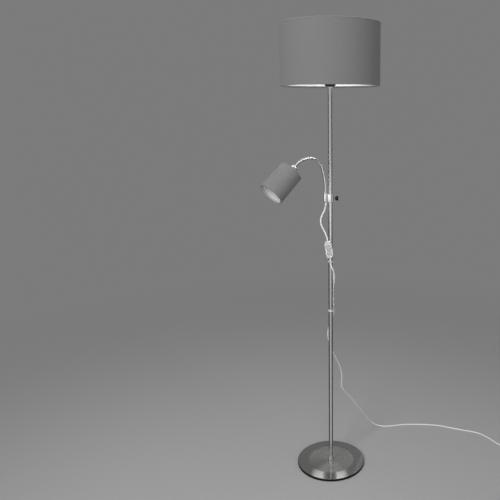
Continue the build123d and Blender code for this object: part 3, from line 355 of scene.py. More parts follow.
class Recipe:
    """A material under construction, with short ways to add and join its nodes."""

    def __init__(self, name: str) -> None:
        """Start an empty material with its shader and output."""
        self.material = bpy.data.materials.new(name)
        self.material.use_nodes = True
        self.tree = self.material.node_tree
        self.tree.nodes.clear()
        self.output = self.add("OutputMaterial")
        self.shader = self.add("BsdfPrincipled")
        self.join(self.shader.outputs["BSDF"], self.output.inputs["Surface"])

    def add(self, kind: str, **settings: object) -> bpy.types.Node:
        """Add a node and set its properties."""
        node = self.tree.nodes.new(f"ShaderNode{kind}")
        for key, value in settings.items():
            setattr(node, key, value)
        return node

    def join(self, source: bpy.types.NodeSocket, target: bpy.types.NodeSocket) -> None:
        """Link an output to an input."""
        self.tree.links.new(source, target)

    def constants(self, **values: object) -> None:
        """Set plain values on the shader's own sockets, by name with _ for a space."""
        for key, value in values.items():
            socket = self.shader.inputs[key.replace("_", " ").title().replace("Ior", "IOR")]
            socket.default_value = (*value, 1.0) if isinstance(value, tuple) else value

    def math(self, operation: str, first: object, second: object = 0.0) -> bpy.types.NodeSocket:
        """Arithmetic on two inputs, each a socket or a number."""
        node = self.add("Math", operation=operation)
        for socket, value in zip(node.inputs, (first, second)):
            if isinstance(value, bpy.types.NodeSocket):
                self.join(value, socket)
            else:
                socket.default_value = value
        return node.outputs[0]

    def coordinates(
        self, kind: str = "Object", scale: tuple[float, float, float] = (1.0, 1.0, 1.0)
    ) -> bpy.types.NodeSocket:
        """Object or UV coordinates, stretched by a scale along each axis."""
        source = self.add("TexCoord")
        mapping = self.add("Mapping")
        mapping.inputs["Scale"].default_value = scale
        self.join(source.outputs[kind], mapping.inputs["Vector"])
        return mapping.outputs["Vector"]

    def noise(self, vector: bpy.types.NodeSocket, scale: float, detail: float = 3.0) -> bpy.types.NodeSocket:
        """Soft random pattern on a vector."""
        node = self.add("TexNoise")
        node.inputs["Scale"].default_value = scale
        node.inputs["Detail"].default_value = detail
        self.join(vector, node.inputs["Vector"])
        return node.outputs["Fac"]

    def between(self, value: bpy.types.NodeSocket, low: float, high: float) -> bpy.types.NodeSocket:
        """Spread a pattern's middle range, 0.3 to 0.7, over two values."""
        return self.ramp(value, (0.3, 0.7), (low, high))

    def ramp(
        self,
        value: bpy.types.NodeSocket,
        source: tuple[float, float],
        target: tuple[float, float] = (0.0, 1.0),
        kind: str = "LINEAR",
    ) -> bpy.types.NodeSocket:
        """Carry a value from one range over to another, held at both ends."""
        node = self.add("MapRange", interpolation_type=kind)
        for name, number in zip(("From Min", "From Max", "To Min", "To Max"), (*source, *target)):
            node.inputs[name].default_value = number
        self.join(value, node.inputs["Value"])
        return node.outputs["Result"]

    def reach(self) -> bpy.types.NodeSocket:
        """Distance from the object's upright axis."""
        length = self.add("VectorMath", operation="LENGTH")
        self.join(self.coordinates("Object", (1.0, 1.0, 0.0)), length.inputs[0])
        return length.outputs["Value"]

    def halved(self, wave: bpy.types.NodeSocket) -> bpy.types.NodeSocket:
        """Carry a wave between -1 and 1 over to 0 and 1."""
        share = self.math("MULTIPLY_ADD", wave, 0.5)
        share.node.inputs[2].default_value = 0.5
        return share

    def roughen(self, value: bpy.types.NodeSocket, low: float, high: float) -> None:
        """Let the shader's roughness follow a pattern, between two values."""
        self.join(self.between(value, low, high), self.shader.inputs["Roughness"])

    def glow(self, level: float) -> bpy.types.NodeSocket:
        """Plain grey light of this level."""
        node = self.add("Emission")
        node.inputs["Color"].default_value = (level, level, level, 1.0)
        return node.outputs[0]

    def tint(self, value: bpy.types.NodeSocket, dark: tuple, light: tuple) -> None:
        """Colour the shader between two colours by a pattern."""
        node = self.add("Mix", data_type="RGBA")
        node.inputs["A"].default_value = (*dark, 1.0)
        node.inputs["B"].default_value = (*light, 1.0)
        self.join(value, node.inputs["Factor"])
        colour = next(out for out in node.outputs if out.type == "RGBA")
        self.join(colour, self.shader.inputs["Base Color"])

    def bump(self, height: bpy.types.NodeSocket, depth: float, strength: float = 1.0) -> None:
        """Raise the surface by a pattern, whose full height is a depth in metres."""
        node = self.add("Bump")
        node.inputs["Strength"].default_value = strength
        node.inputs["Distance"].default_value = depth
        self.join(height, node.inputs["Height"])
        self.join(node.outputs["Normal"], self.shader.inputs["Normal"])


MADE: dict[str, bpy.types.Material] = {}


@dataclass(frozen=True)
class Finish:
    """A material kept under its name, so that pieces of one finish share it."""

    name: str
    colour: tuple[float, float, float]

    def material(self) -> bpy.types.Material:
        """The Blender material, made on first use."""
        if self.name not in MADE:
            recipe = Recipe(self.name)
            self.fill(recipe)
            MADE[self.name] = recipe.material
        return MADE[self.name]

    def fill(self, recipe: Recipe) -> None:
        """Set the shader and its patterns."""
        recipe.constants(base_color=self.colour)

    def shades(self, spread: float) -> tuple[tuple, tuple]:
        """A darker and a lighter version of the colour, this share apart."""
        colour = np.array(self.colour)
        return tuple(colour * (1 - spread)), tuple(np.minimum(colour * (1 + spread), 1.0))


class Grain(Enum):
    """How the fine lines of a brushed metal run."""

    UPRIGHT = (900.0, 900.0, 6.0)
    ROUND = (0.0, 0.0, 0.0)
    PLAIN = (220.0, 220.0, 220.0)


@dataclass(frozen=True)
class BrushedMetal(Finish):
    """Metal with fine brushing lines: upright on a tube, or round and round on a spun disc."""

    grain: Grain = Grain.UPRIGHT
    roughness: float = 0.3
    stretch: float = 0.4
    border: float = 84.0 * MM
    fade: float = 2.0 * MM
    polish: float = 0.3
    lines_per_metre: float = 1400.0

    def lines(self, recipe: Recipe) -> bpy.types.NodeSocket:
        """Coordinates in which the brushing lines are long and thin."""
        if self.grain is not Grain.ROUND:
            return recipe.coordinates("Object", self.grain.value)
        split = recipe.add("SeparateXYZ")
        recipe.join(recipe.coordinates(), split.inputs[0])
        radius = recipe.reach()
        above_zero = recipe.math("ADD", radius, 0.1 * MM)
        packed = recipe.add("CombineXYZ")
        recipe.join(recipe.math("MULTIPLY", radius, self.lines_per_metre), packed.inputs["X"])
        recipe.join(recipe.math("DIVIDE", split.outputs["X"], above_zero), packed.inputs["Y"])
        recipe.join(recipe.math("DIVIDE", split.outputs["Y"], above_zero), packed.inputs["Z"])
        return packed.outputs[0]

    def fill(self, recipe: Recipe) -> None:
        """Metal with lines in its colour, its roughness and its surface."""
        recipe.constants(metallic=1.0, anisotropic=self.stretch)
        lines = recipe.noise(self.lines(recipe), 1.0, 4.0)
        recipe.tint(recipe.between(lines, 0.0, 1.0), *self.shades(0.07))
        rough = recipe.between(lines, self.roughness * 0.85, self.roughness * 1.2)
        relief = 0.000004
        if self.grain is Grain.ROUND:
            relief = 0.0000015
            recipe.constants(anisotropic_rotation=0.25)
            rough = recipe.math("MULTIPLY", rough, self.kept_roughness(recipe))
            tangent = recipe.add("Tangent", direction_type="RADIAL", axis="Z")
            recipe.join(tangent.outputs[0], recipe.shader.inputs["Tangent"])
        recipe.join(rough, recipe.shader.inputs["Roughness"])
        recipe.bump(lines, relief)

    def kept_roughness(self, recipe: Recipe) -> bpy.types.NodeSocket:
        """Share of its roughness that a spun disc keeps: a smooth step down where its border starts."""
        edge = (self.border - self.fade, self.border + self.fade)
        return recipe.ramp(recipe.reach(), edge, (1.0, self.polish), "SMOOTHSTEP")


@dataclass(frozen=True)
class Polished(Finish):
    """Bright plated metal with faint handling marks."""

    roughness: float = 0.05

    def fill(self, recipe: Recipe) -> None:
        """Mirror metal whose roughness drifts a little."""
        recipe.constants(metallic=1.0)
        marks = recipe.noise(recipe.coordinates(), 90.0, 5.0)
        recipe.tint(marks, *self.shades(0.03))
        recipe.roughen(marks, self.roughness, self.roughness + 0.06)
        recipe.bump(recipe.noise(recipe.coordinates(), 400.0, 2.0), 0.000002)


@dataclass(frozen=True)
class Moulded(Finish):
    """Moulded plastic or lacquer with a fine grain."""

    roughness: float = 0.3
    grain: float = 2600.0
    depth: float = 0.000012
    coat: float = 0.0

    def fill(self, recipe: Recipe) -> None:
        """Solid colour with grain in the surface and a slow drift in its shine."""
        recipe.constants(coat_weight=self.coat, coat_roughness=0.1)
        place = recipe.coordinates()
        drift = recipe.noise(place, 60.0, 3.0)
        recipe.tint(drift, *self.shades(0.06))
        recipe.roughen(drift, self.roughness * 0.85, self.roughness * 1.2)
        recipe.bump(recipe.noise(place, self.grain, 2.0), self.depth)


@dataclass(frozen=True)
class Clear(Finish):
    """Clear, slightly milky plastic."""

    through: float = 0.75
    roughness: float = 0.16

    def fill(self, recipe: Recipe) -> None:
        """Plastic that lets light through, with flow marks."""
        recipe.constants(transmission_weight=self.through, ior=1.46)
        place = recipe.coordinates()
        flow = recipe.noise(place, 160.0, 3.0)
        recipe.tint(flow, *self.shades(0.04))
        recipe.roughen(flow, self.roughness, self.roughness * 1.6)
        recipe.bump(flow, 0.00002)


@dataclass(frozen=True)
class ClearLead(Finish):
    """Clear round sheath with two pale cores twisted inside, drawn along the piece's UV map."""

    lay: float = 0.034
    girth: float = 0.017

    def fill(self, recipe: Recipe) -> None:
        """Sheath whose tint follows the twist: a sine of place along minus place round."""
        recipe.constants(transmission_weight=0.2, ior=1.46, coat_weight=0.4, coat_roughness=0.08)
        split = recipe.add("SeparateXYZ")
        recipe.join(recipe.coordinates("UV"), split.inputs[0])
        around = recipe.math("MULTIPLY", split.outputs["X"], 2 * math.pi * 2 / self.girth)
        along = recipe.math("MULTIPLY", split.outputs["Y"], 2 * math.pi * 2 / self.lay)
        twist = recipe.math("SINE", recipe.math("SUBTRACT", around, along))
        share = recipe.halved(twist)
        recipe.tint(share, *self.shades(0.14))
        place = recipe.coordinates()
        recipe.roughen(recipe.noise(place, 300.0, 2.0), 0.16, 0.3)
        recipe.bump(share, 0.00006)


@dataclass(frozen=True)
class WovenCloth(Finish):
    """Plain-woven shade cloth with slubbed threads, drawn on the piece's UV map in metres."""

    thread: float = 0.0009

    def slubs(self, recipe: Recipe, across: float, along: float) -> bpy.types.NodeSocket:
        """Long soft streaks, as uneven threads give."""
        return recipe.noise(recipe.coordinates("UV", (across, along, 1.0)), 1.0, 3.0)

    def fill(self, recipe: Recipe) -> None:
        """Cloth whose weave is the product of two sines, one for the warp and one for the weft."""
        recipe.constants(sheen_weight=0.12, sheen_roughness=0.6, specular_ior_level=0.25)
        recipe.shader.inputs["Roughness"].default_value = 0.9
        split = recipe.add("SeparateXYZ")
        recipe.join(recipe.coordinates("UV"), split.inputs[0])
        rate = math.pi / self.thread
        warp = recipe.math("SINE", recipe.math("MULTIPLY", split.outputs["X"], rate))
        weft = recipe.math("SINE", recipe.math("MULTIPLY", split.outputs["Y"], rate))
        weave = recipe.halved(recipe.math("MULTIPLY", warp, weft))
        upright = self.slubs(recipe, 900.0, 30.0)
        level = self.slubs(recipe, 30.0, 900.0)
        slub = recipe.math("MULTIPLY", recipe.math("ADD", upright, level), 0.5)
        share = recipe.math("ADD", recipe.math("MULTIPLY", weave, 0.35), recipe.math("MULTIPLY", slub, 0.65))
        recipe.tint(recipe.between(share, 0.0, 1.0), *self.shades(0.16))
        recipe.bump(recipe.math("ADD", weave, slub), 0.00016, 0.9)


@dataclass(frozen=True)
class Film(Finish):
    """Smooth white film on the inside of a shade, very slightly uneven where it is glued."""

    def fill(self, recipe: Recipe) -> None:
        """Satin white with slow waves."""
        recipe.constants(specular_ior_level=0.3)
        place = recipe.coordinates()
        waves = recipe.noise(place, 35.0, 2.0)
        recipe.tint(waves, *self.shades(0.03))
        recipe.roughen(waves, 0.42, 0.55)
        recipe.bump(waves, 0.0002, 0.5)


@dataclass(frozen=True)
class Opal(Finish):
    """Frosted bulb glass."""

    def fill(self, recipe: Recipe) -> None:
        """White glass that lets some light into itself."""
        recipe.constants(transmission_weight=0.25, ior=1.45, coat_weight=0.25, coat_roughness=0.15)
        frost = recipe.noise(recipe.coordinates(), 500.0, 3.0)
        recipe.tint(frost, *self.shades(0.02))
        recipe.roughen(frost, 0.3, 0.42)
        recipe.bump(frost, 0.00001)


@dataclass(frozen=True)
class Felt(Finish):
    """Pressed felt."""

    def fill(self, recipe: Recipe) -> None:
        """Dark fibres: two scales of noise in the colour and the surface."""
        recipe.constants(sheen_weight=0.4, sheen_roughness=0.5)
        recipe.shader.inputs["Roughness"].default_value = 0.95
        place = recipe.coordinates()
        fibres = recipe.noise(place, 1500.0, 6.0)
        recipe.tint(recipe.between(fibres, 0.0, 1.0), *self.shades(0.4))
        recipe.bump(fibres, 0.0003)


@dataclass(frozen=True)
class Cast(Finish):
    """Rough cast iron."""

    def fill(self, recipe: Recipe) -> None:
        """Dull metal with a sandy surface."""
        recipe.constants(metallic=0.8)
        place = recipe.coordinates()
        sand = recipe.noise(place, 700.0, 5.0)
        recipe.tint(recipe.between(sand, 0.0, 1.0), *self.shades(0.3))
        recipe.roughen(sand, 0.55, 0.8)
        recipe.bump(sand, 0.0002)


SATIN_NICKEL = BrushedMetal("satin_nickel", (0.74, 0.735, 0.72), Grain.UPRIGHT, 0.24, 0.25)
SPUN_STEEL = BrushedMetal("spun_steel", (0.52, 0.52, 0.51), Grain.ROUND, 0.24, 1.0)
# Near-black rim steel: painted shade, standing in for the dark reflection and contact shade on the base's
# side wall.
RIM_PAINTED_SHADE = BrushedMetal("rim_steel_painted_shade", (0.02, 0.02, 0.02), Grain.PLAIN, 0.5, 0.0)
PLAIN_STEEL = BrushedMetal("plain_steel", (0.52, 0.52, 0.52), Grain.PLAIN, 0.35, 0.0)
BRASS = BrushedMetal("pin_brass", (0.66, 0.50, 0.24), Grain.PLAIN, 0.28, 0.0)
CHROME = Polished("bright_chrome", (0.84, 0.84, 0.85), 0.05)
NECK_CHROME = Polished("neck_chrome", (0.90, 0.90, 0.91), 0.12)
BULB_METAL = BrushedMetal("bulb_cap_metal", (0.70, 0.70, 0.69), Grain.PLAIN, 0.25, 0.0)
KNOB_BLACK = Moulded("knob_black", (0.005, 0.005, 0.005), 0.38, 2200.0, 0.000008, 0.0)
HOLDER_BLACK = Moulded("holder_black", (0.018, 0.018, 0.018), 0.38)
HOLDER_WHITE = Moulded("holder_white", (0.78, 0.78, 0.76), 0.3)
ROCKER_DARK = Moulded("rocker_dark", (0.38, 0.38, 0.38), 0.3)
WIRE_WHITE = Moulded("wire_white", (0.80, 0.80, 0.79), 0.35, 900.0, 0.00003)
FLEX_WHITE = Moulded("inner_flex_white", (0.75, 0.75, 0.74), 0.45)
CLEAR_CASE = Clear("clear_case", (0.93, 0.94, 0.94), 0.6, 0.15)
CLEAR_PLUG = Clear("clear_plug", (0.90, 0.91, 0.91), 0.45, 0.2)
CLEAR_LEAD = ClearLead("clear_lead", (0.90, 0.90, 0.90))
SHADE_CLOTH = WovenCloth("grey_shade_cloth", (0.165, 0.165, 0.165))
SHADE_FILM = Film("white_shade_film", (0.88, 0.88, 0.87))
# Darker copy of the white film: painted shade on the reading shade's lining.
READING_FILM_PAINTED_SHADE = Film("reading_shade_film", (0.56, 0.56, 0.555))
BULB_OPAL = Opal("bulb_opal", (0.90, 0.90, 0.88))
PAD_FELT = Felt("pad_felt", (0.045, 0.045, 0.045))
WEIGHT_IRON = Cast("weight_iron", (0.10, 0.10, 0.10))


# ---------------------------------------------------------------- frame facts


@dataclass(frozen=True)
class Extent:
    """Lowest and highest corner of a CAD node."""

    low: np.ndarray
    high: np.ndarray

    @classmethod
    def of(cls, node: str) -> Extent:
        """Measure a node."""
        low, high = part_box(node)
        return cls(np.array(low), np.array(high))

    @property
    def radius(self) -> float:
        """Half the greater of its two level sizes, for an upright round piece."""
        return float((self.high - self.low)[:2].max() / 2)


def joint_of(frame: dict, name: str) -> dict:
    """The record's joint of this name."""
    return next(joint for joint in frame["joints"] if joint["name"] == name)


# ---------------------------------------------------------------- base and pole


@dataclass
class Base:
    """Spun steel cover with its rim painted near black as shade, and the collar round the pole's foot."""

    edge: float = 1.6 * MM
    wall: float = 1.2 * MM
    hole: float = 5.3 * MM
    fall: float = 0.15 * MM
    sides: int = 224

    def build(self) -> None:
        """Make the cover's disc, its rim and the collar."""
        cover = Extent.of("base_cover")
        radius, top, rim = cover.radius, cover.high[2], cover.low[2]
        lip = 0.3 * MM
        crease = radius - self.edge
        shoulder = top - self.fall
        outer = rounded(
            [
                (self.hole, top, 0),
                (crease / 2, top, 0),
                (crease - 6.0 * MM, top, 0),
                (crease - 2.0 * MM, top, 0),
                (crease, top, 0.6 * MM),
                (crease + 0.5 * MM, shoulder, 0),
            ],
            fine=10,
        )
        disc = wall(outer, outer - np.array((0.0, self.wall)))
        obj = lathe("base_cover_spun", disc, SPUN_STEEL, sides=self.sides)
        settle(obj, "stand", "base_steel", "base_cover")
        band = rounded(
            [
                (crease + 0.5 * MM, shoulder, 0),
                (radius, shoulder - 0.7 * MM, 0.8 * MM),
                (radius, rim, lip),
                (radius - self.wall, rim, 0),
                (radius - self.wall, shoulder - self.wall, 0),
            ],
            closed=True,
        )
        # The side band of the cover is painted near black: painted shade.
        settle(lathe("base_cover_rim", band, RIM_PAINTED_SHADE, sides=self.sides), "stand", "base_steel")
        collar = Extent.of("foot_collar")
        bore = Extent.of("pole_lower").radius + 0.05 * MM
        loop = rounded(
            [
                (bore, collar.low[2], 0),
                (collar.radius, collar.low[2], 0.2 * MM),
                (collar.radius, collar.high[2], 1.6 * MM),
                (bore, collar.high[2], 0.3 * MM),
            ],
            closed=True,
        )
        settle(lathe("base_collar_turned", loop, SATIN_NICKEL), "stand", "pole_nickel", "foot_collar")


@dataclass
class Pole:
    """Three lengths of tube on one line."""

    wall: float = 1.0 * MM
    bevel: float = 0.35 * MM
    collar: float = 2.0 * MM
    sides: int = 72

    def build(self) -> None:
        """Make each tube with rounded ends; a ring beside each end keeps its long side straight."""
        for node in ("pole_lower", "pole_middle", "pole_upper"):
            tube = Extent.of(node)
            low, high, outer = tube.low[2], tube.high[2], tube.radius
            loop = rounded(
                [
                    (outer - self.wall, low, 0),
                    (outer, low, self.bevel),
                    (outer, low + self.collar, 0),
                    (outer, high - self.collar, 0),
                    (outer, high, self.bevel),
                    (outer - self.wall, high, 0),
                ],
                closed=True,
            )
            obj = lathe(f"{node}_tube", loop, SATIN_NICKEL, sides=self.sides)
            settle(obj, "stand", "pole_nickel", node)


# ---------------------------------------------------------------- bracket, knob and gland


@dataclass
class Knob:
    """Black cone-shaped knob with shallow flutes round its grip."""

    neck: float = 3.5 * MM
    grip: float = 9.0 * MM
    reach: float = 27.0 * MM
    length: float = 11.5 * MM
    flutes: int = 8
    depth: float = 1.0 * MM
    screw: float = 2.5 * MM
    sides: int = 160

    def build(self, frame: dict) -> None:
        """Make the knob: the grip's radius dips by a cosine of the angle, less towards the neck."""
        joint = joint_of(frame, "knob_turn")
        axis = unit(np.array(joint["axis"]))
        origin = np.array((0.0, 0.0, joint["pos_m"][2]))
        place = Place(origin, axis, UP)
        root = self.reach - self.length
        belt = self.reach - self.length / 4
        profile = rounded(
            [
                (self.screw, root, 0),
                (self.neck, root, 0.5 * MM),
                (self.grip, belt, 0.9 * MM),
                (self.grip, self.reach, 1.2 * MM),
                (self.grip * 0.55, self.reach, 1.0 * MM),
                (self.grip * 0.5, self.reach - 0.7 * MM, 0.6 * MM),
                (0.0, self.reach - 0.7 * MM, 0),
            ],
            fine=8,
        )
        angle = round_angles(self.sides)
        radius, along = profile[:, :1], profile[:, 1:]
        share = np.clip((radius / self.grip - 0.75) / 0.25, 0, 1) ** 2
        dip = self.depth * share * (0.5 + 0.5 * np.cos(self.flutes * angle[None])) ** 3
        skin = Skin(place.at(radius - dip, angle[None], along))
        core = np.array([(self.screw, root), (self.screw, belt), (0.0, belt)])
        obj = piece("lock_knob_grip", [skin, turned(core, place, self.sides)], KNOB_BLACK)
        settle(obj, "knob", "knob_black", "lock_knob")


@dataclass
class Gland:
    """Tapered clear sleeve, ringed so that it bends, where the lead leaves the bracket."""

    flange: float = 4.6 * MM
    flange_height: float = 1.5 * MM
    length: float = 19.0 * MM
    tip: float = 3.1 * MM
    rings: int = 6

    def build(self, root: np.ndarray, end: np.ndarray, bore: float) -> None:
        """Make the flange and the ringed taper.

        Args:
            root: Middle of the flange, under the bracket.
            end: Where the lead comes out.
            bore: Radius of the lead.
        """
        start = root - UP * self.flange_height
        way = unit(end - start)
        place = Place(start, way, unit(np.cross(way, (0.0, 1.0, 0.0))))
        share = np.linspace(0, 1, self.rings * 8 + 1)
        taper = self.flange - 0.5 * MM - (self.flange - 0.5 * MM - self.tip) * share
        waves = 0.28 * MM * (0.5 + 0.5 * np.cos(2 * np.pi * self.rings * share)) * (share < 0.93)
        outer = np.stack([taper - waves, share * self.length], 1)
        inner = np.array([(bore, 0.0), (bore, self.length)])
        sleeve = turned(wall(outer, inner), place, 48, closed=True)
        loop = rounded(
            [
                (bore, -self.flange_height, 0),
                (self.flange, -self.flange_height, 0.2 * MM),
                (self.flange, 0, 0.5 * MM),
                (bore, 0, 0),
            ],
            closed=True,
        )
        upright = Place(start, -UP, np.array((1.0, 0.0, 0.0)))
        obj = piece("cord_gland_sleeve", [sleeve, turned(loop, upright, 48, closed=True)], CLEAR_CASE)
        settle(obj, "bracket", "clear_plastic", "cord_gland")


# ---------------------------------------------------------------- bending neck


@dataclass
class NeckPath:
    """Centre line of the neck: a straight foot, three arcs and a straight tail, in one upright plane."""

    foot: float = 10.0 * MM
    arcs: tuple = ((250.0 * MM, 19.0), (54.0 * MM, 65.0), (75.0 * MM, 47.7))
    tail: float = 9.0 * MM
    socket: np.ndarray = field(default_factory=lambda: np.zeros(3))

    @property
    def curve(self) -> float:
        """Length of the three arcs."""
        return sum(radius * math.radians(turn) for radius, turn in self.arcs)

    @property
    def length(self) -> float:
        """Whole length of the neck."""
        return self.foot + self.curve + self.tail

    def walk(self, distance: np.ndarray) -> tuple[np.ndarray, np.ndarray]:
        """Points and directions after distances from the socket.

        The straight foot adds height alone. Each arc of radius R adds R (cos a - cos b) of reach and
        R (sin b - sin a) of height as the heading goes from a to b, and the tail goes on straight.

        Args:
            distance: Distances along the neck, in metres.

        Returns:
            Points and unit directions, each of shape (n, 3).
        """
        distance = np.atleast_1d(np.asarray(distance, float))
        reach, heading = np.zeros_like(distance), np.zeros_like(distance)
        height = np.minimum(distance, self.foot)
        left = distance - self.foot
        for radius, turn in self.arcs:
            step = np.clip(left, 0, radius * math.radians(turn)) / radius
            reach += radius * (np.cos(heading) - np.cos(heading + step))
            height += radius * (np.sin(heading + step) - np.sin(heading))
            heading = heading + step
            left = left - radius * math.radians(turn)
        left = np.maximum(left, 0)
        reach += left * np.sin(heading)
        height += left * np.cos(heading)
        points = self.socket + np.stack([-reach, np.zeros_like(reach), height], 1)
        ways = np.stack([-np.sin(heading), np.zeros_like(heading), np.cos(heading)], 1)
        return points, ways


@dataclass
class Neck:
    """Wound hose from the bracket to the reading lamp, in lengths that each span one joint."""

    path: NeckPath
    links: int = 12
    radius: float = 5.0 * MM
    depth: float = 0.11 * MM
    bore: float = 4.25 * MM
    ribs_per_link: int = 11
    fine: int = 4
    sides: int = 40
    ferrule: float = 5.4 * MM
    shoulder: float = 6.8 * MM

    def bodies(self, number: int) -> tuple[str, str]:
        """The two bodies that joint number 1 to 13 joins."""
        names = ["bracket", *[f"link_{k:02d}" for k in range(1, self.links + 1)], "head"]
        return names[number - 1], names[number]

    def length_between(self, start: float, end: float, ribs: int) -> list[Skin]:
        """Hose wall between two distances: its radius dips by the square root of a sine at each rib."""
        distance = np.linspace(start, end, ribs * self.fine + 1)
        share = (distance - start) / (end - start)
        wave = np.sqrt(np.abs(np.sin(np.pi * ribs * share)))
        radius = self.radius - self.depth * (1 - wave)
        points, ways = self.path.walk(distance)
        side = np.broadcast_to((0.0, 1.0, 0.0), ways.shape)
        circle = circles(side, np.cross(ways, side), self.sides)
        outer = points[:, None] + circle * radius[:, None, None]
        inner = points[:, None] + circle * self.bore
        loop = np.concatenate([outer, inner[::-1]])
        return [Skin(loop, wrap_rows=True)]

    def build(self) -> None:
        """Make one length of hose for each joint, and the ferrule at the foot."""
        pitch = self.path.curve / self.links
        pivots = self.path.foot + pitch * np.arange(self.links + 1)
        cuts = np.concatenate([[self.shoulder], (pivots[:-1] + pivots[1:]) / 2, [self.path.length]])
        for number in range(1, self.links + 2):
            start, end = cuts[number - 1], cuts[number]
            ribs = max(2, round(self.ribs_per_link * (end - start) / pitch))
            name = f"neck_hose_{number:02d}"
            obj = piece(name, self.length_between(start, end, ribs), NECK_CHROME, crease=80)
            ends = self.path.walk(np.array((start, end)))[0]
            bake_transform(obj)
            if number <= self.links:
                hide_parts(f"neck_link_{number:02d}")
            LOG.info("%s bends between %s and %s", name, *self.bodies(number))
        self.build_ferrule()

    def build_ferrule(self) -> None:
        """Make the turned sleeve that holds the hose on the bracket."""
        place = Place(self.path.socket, UP, np.array((1.0, 0.0, 0.0)))
        bore = 2.2 * MM
        loop = rounded(
            [
                (bore, -7.0 * MM, 0),
                (4.1 * MM, -7.0 * MM, 0.3 * MM),
                (4.1 * MM, 0.0, 0),
                (self.ferrule, 0.0, 0.2 * MM),
                (self.ferrule, self.shoulder - 2.2 * MM, 0.3 * MM),
                (self.ferrule - 0.25 * MM, self.shoulder - 1.9 * MM, 0),
                (self.ferrule, self.shoulder - 1.6 * MM, 0),
                (self.ferrule, self.shoulder, 0.7 * MM),
                (bore, self.shoulder, 0),
            ],
            closed=True,
        )
        obj = lathe("neck_foot_sleeve", loop, CHROME, place, 64)
        settle(obj, "bracket", "bright_chrome", "neck_ferrule")


# ---------------------------------------------------------------- shades, bulbs and holders


@dataclass
class ShadeSizes:
    """Sizes of one cloth shade: a drum or a slight cone from its start to its end along its axis."""

    name: str
    start: float
    end: float
    first: float
    last: float
    seam: float
    body: str
    hem: float = 7.0 * MM
    turn_in: float = 6.0 * MM
    rim: float = 3.3 * MM
    cloth: float = 0.9 * MM
    film_gap: float = 1.2 * MM
    film: float = 0.55 * MM
    ridge: float = 0.35 * MM
    sides: int = 240
    rows: int = 97


@dataclass
class Shade:
    """Cloth drawn over a white film, with its edges rolled in over two wire rings."""

    sizes: ShadeSizes
    place: Place

    def radius(self, along: np.ndarray) -> np.ndarray:
        """Outer radius of the cloth at places along the axis: a straight line between its ends."""
        size = self.sizes
        share = (np.asarray(along) - size.start) / (size.end - size.start)
        return size.first + (size.last - size.first) * share

    def profile(self) -> np.ndarray:
        """Closed section of the cloth: outside with its hems, over one ring, inside, over the other.

        A hem stands out by a quarter of a millimetre, falling away by a smooth step. Each rolled rim
        is half an ellipse from the outer face to the turned-in edge.
        """
        size = self.sizes
        length = size.end - size.start
        cap = size.rim
        along = size.start + cap * 0.5 + (length - cap) * np.linspace(0, 1, size.rows)
        near = np.minimum(along - size.start, size.end - along)
        step = 1 - 1 / (1 + np.exp(-(near - size.hem) / (0.35 * MM)))
        outer = np.stack([self.radius(along) - 0.3 * MM + 0.25 * MM * step, along], 1)
        half = np.linspace(0, np.pi, 15)[1:-1]

        def rolled(edge: float, sign: float) -> np.ndarray:
            """Half ellipse over the ring at one edge, outside to inside."""
            outside = float(self.radius(edge)) - 0.05 * MM
            middle = outside - cap
            return np.stack([middle + cap * np.cos(half), edge - sign * cap * 0.5 * (1 - np.sin(half))], 1)

        def inside(edge: float, sign: float) -> np.ndarray:
            """Turned-in cloth, from the rolled rim to its cut edge and back to the main wall."""
            outside = float(self.radius(edge)) - 0.05 * MM
            lip = outside - 2 * cap
            reach = np.array([0.5 * cap, size.turn_in, size.turn_in + 0.25 * MM])
            down = np.stack([[lip, lip, lip + 0.25 * MM], edge - sign * reach], 1)
            rise = edge - sign * np.array([size.turn_in, cap * 0.7])
            back = np.stack([[lip + 0.5 * MM, lip + 0.55 * MM], rise], 1)
            return np.vstack([down, back])

        wall_in = np.stack([self.radius(along) - 0.3 * MM - size.cloth + 0.25 * MM, along], 1)
        mid = (along > size.start + cap) & (along < size.end - cap)
        last = np.vstack([rolled(size.end, 1), inside(size.end, 1)])
        first = np.vstack([rolled(size.start, -1), inside(size.start, -1)])[::-1]
        return np.vstack([outer, last, wall_in[mid][::-1], first])

    def build_cloth(self, *nodes: str) -> bpy.types.Object:
        """Make the cloth, with a lapped seam that stands out by a smooth step at one angle."""
        size = self.sizes
        profile = self.profile()
        angle = round_angles(size.sides)
        gap = np.abs((angle - size.seam + np.pi) % (2 * np.pi) - np.pi) * size.first
        lap = size.ridge * np.clip((5.5 * MM - gap) / (1.2 * MM), 0, 1)
        outside = np.arange(len(profile)) < size.rows
        radius = profile[:, :1] - 0.35 * MM * outside[:, None] + lap[None] * outside[:, None]
        sway = 0.12 * MM * np.sin(3 * angle + 1.0)[None] * outside[:, None]
        points = self.place.at(radius + sway, angle[None], profile[:, 1:])
        run = steps_of(profile, True)
        girth = np.linspace(0, 2 * np.pi, size.sides + 1) * size.first
        skin = Skin(points, wrap_rows=True, run=run, girth=girth)
        obj = piece(f"{size.name}_cloth", [skin], SHADE_CLOTH, crease=60)
        return settle(obj, size.body, "shade_fabric", *nodes)

    def build_film(self, *nodes: str, finish: Finish = SHADE_FILM) -> bpy.types.Object:
        """Make the film inside the cloth, as a thin closed wall, in the finish given: white, or darkened with
        painted shade for the reading lamp.
        """
        size = self.sizes
        along = np.linspace(size.start + 1.2 * MM, size.end - 1.2 * MM, 25)
        outer = np.stack([self.radius(along) - size.film_gap - 0.15 * MM, along], 1)
        inner = outer - np.array((size.film, 0.0))
        obj = lathe(f"{size.name}_film", wall(outer, inner), finish, self.place, size.sides)
        return settle(obj, size.body, "shade_lining", *nodes)


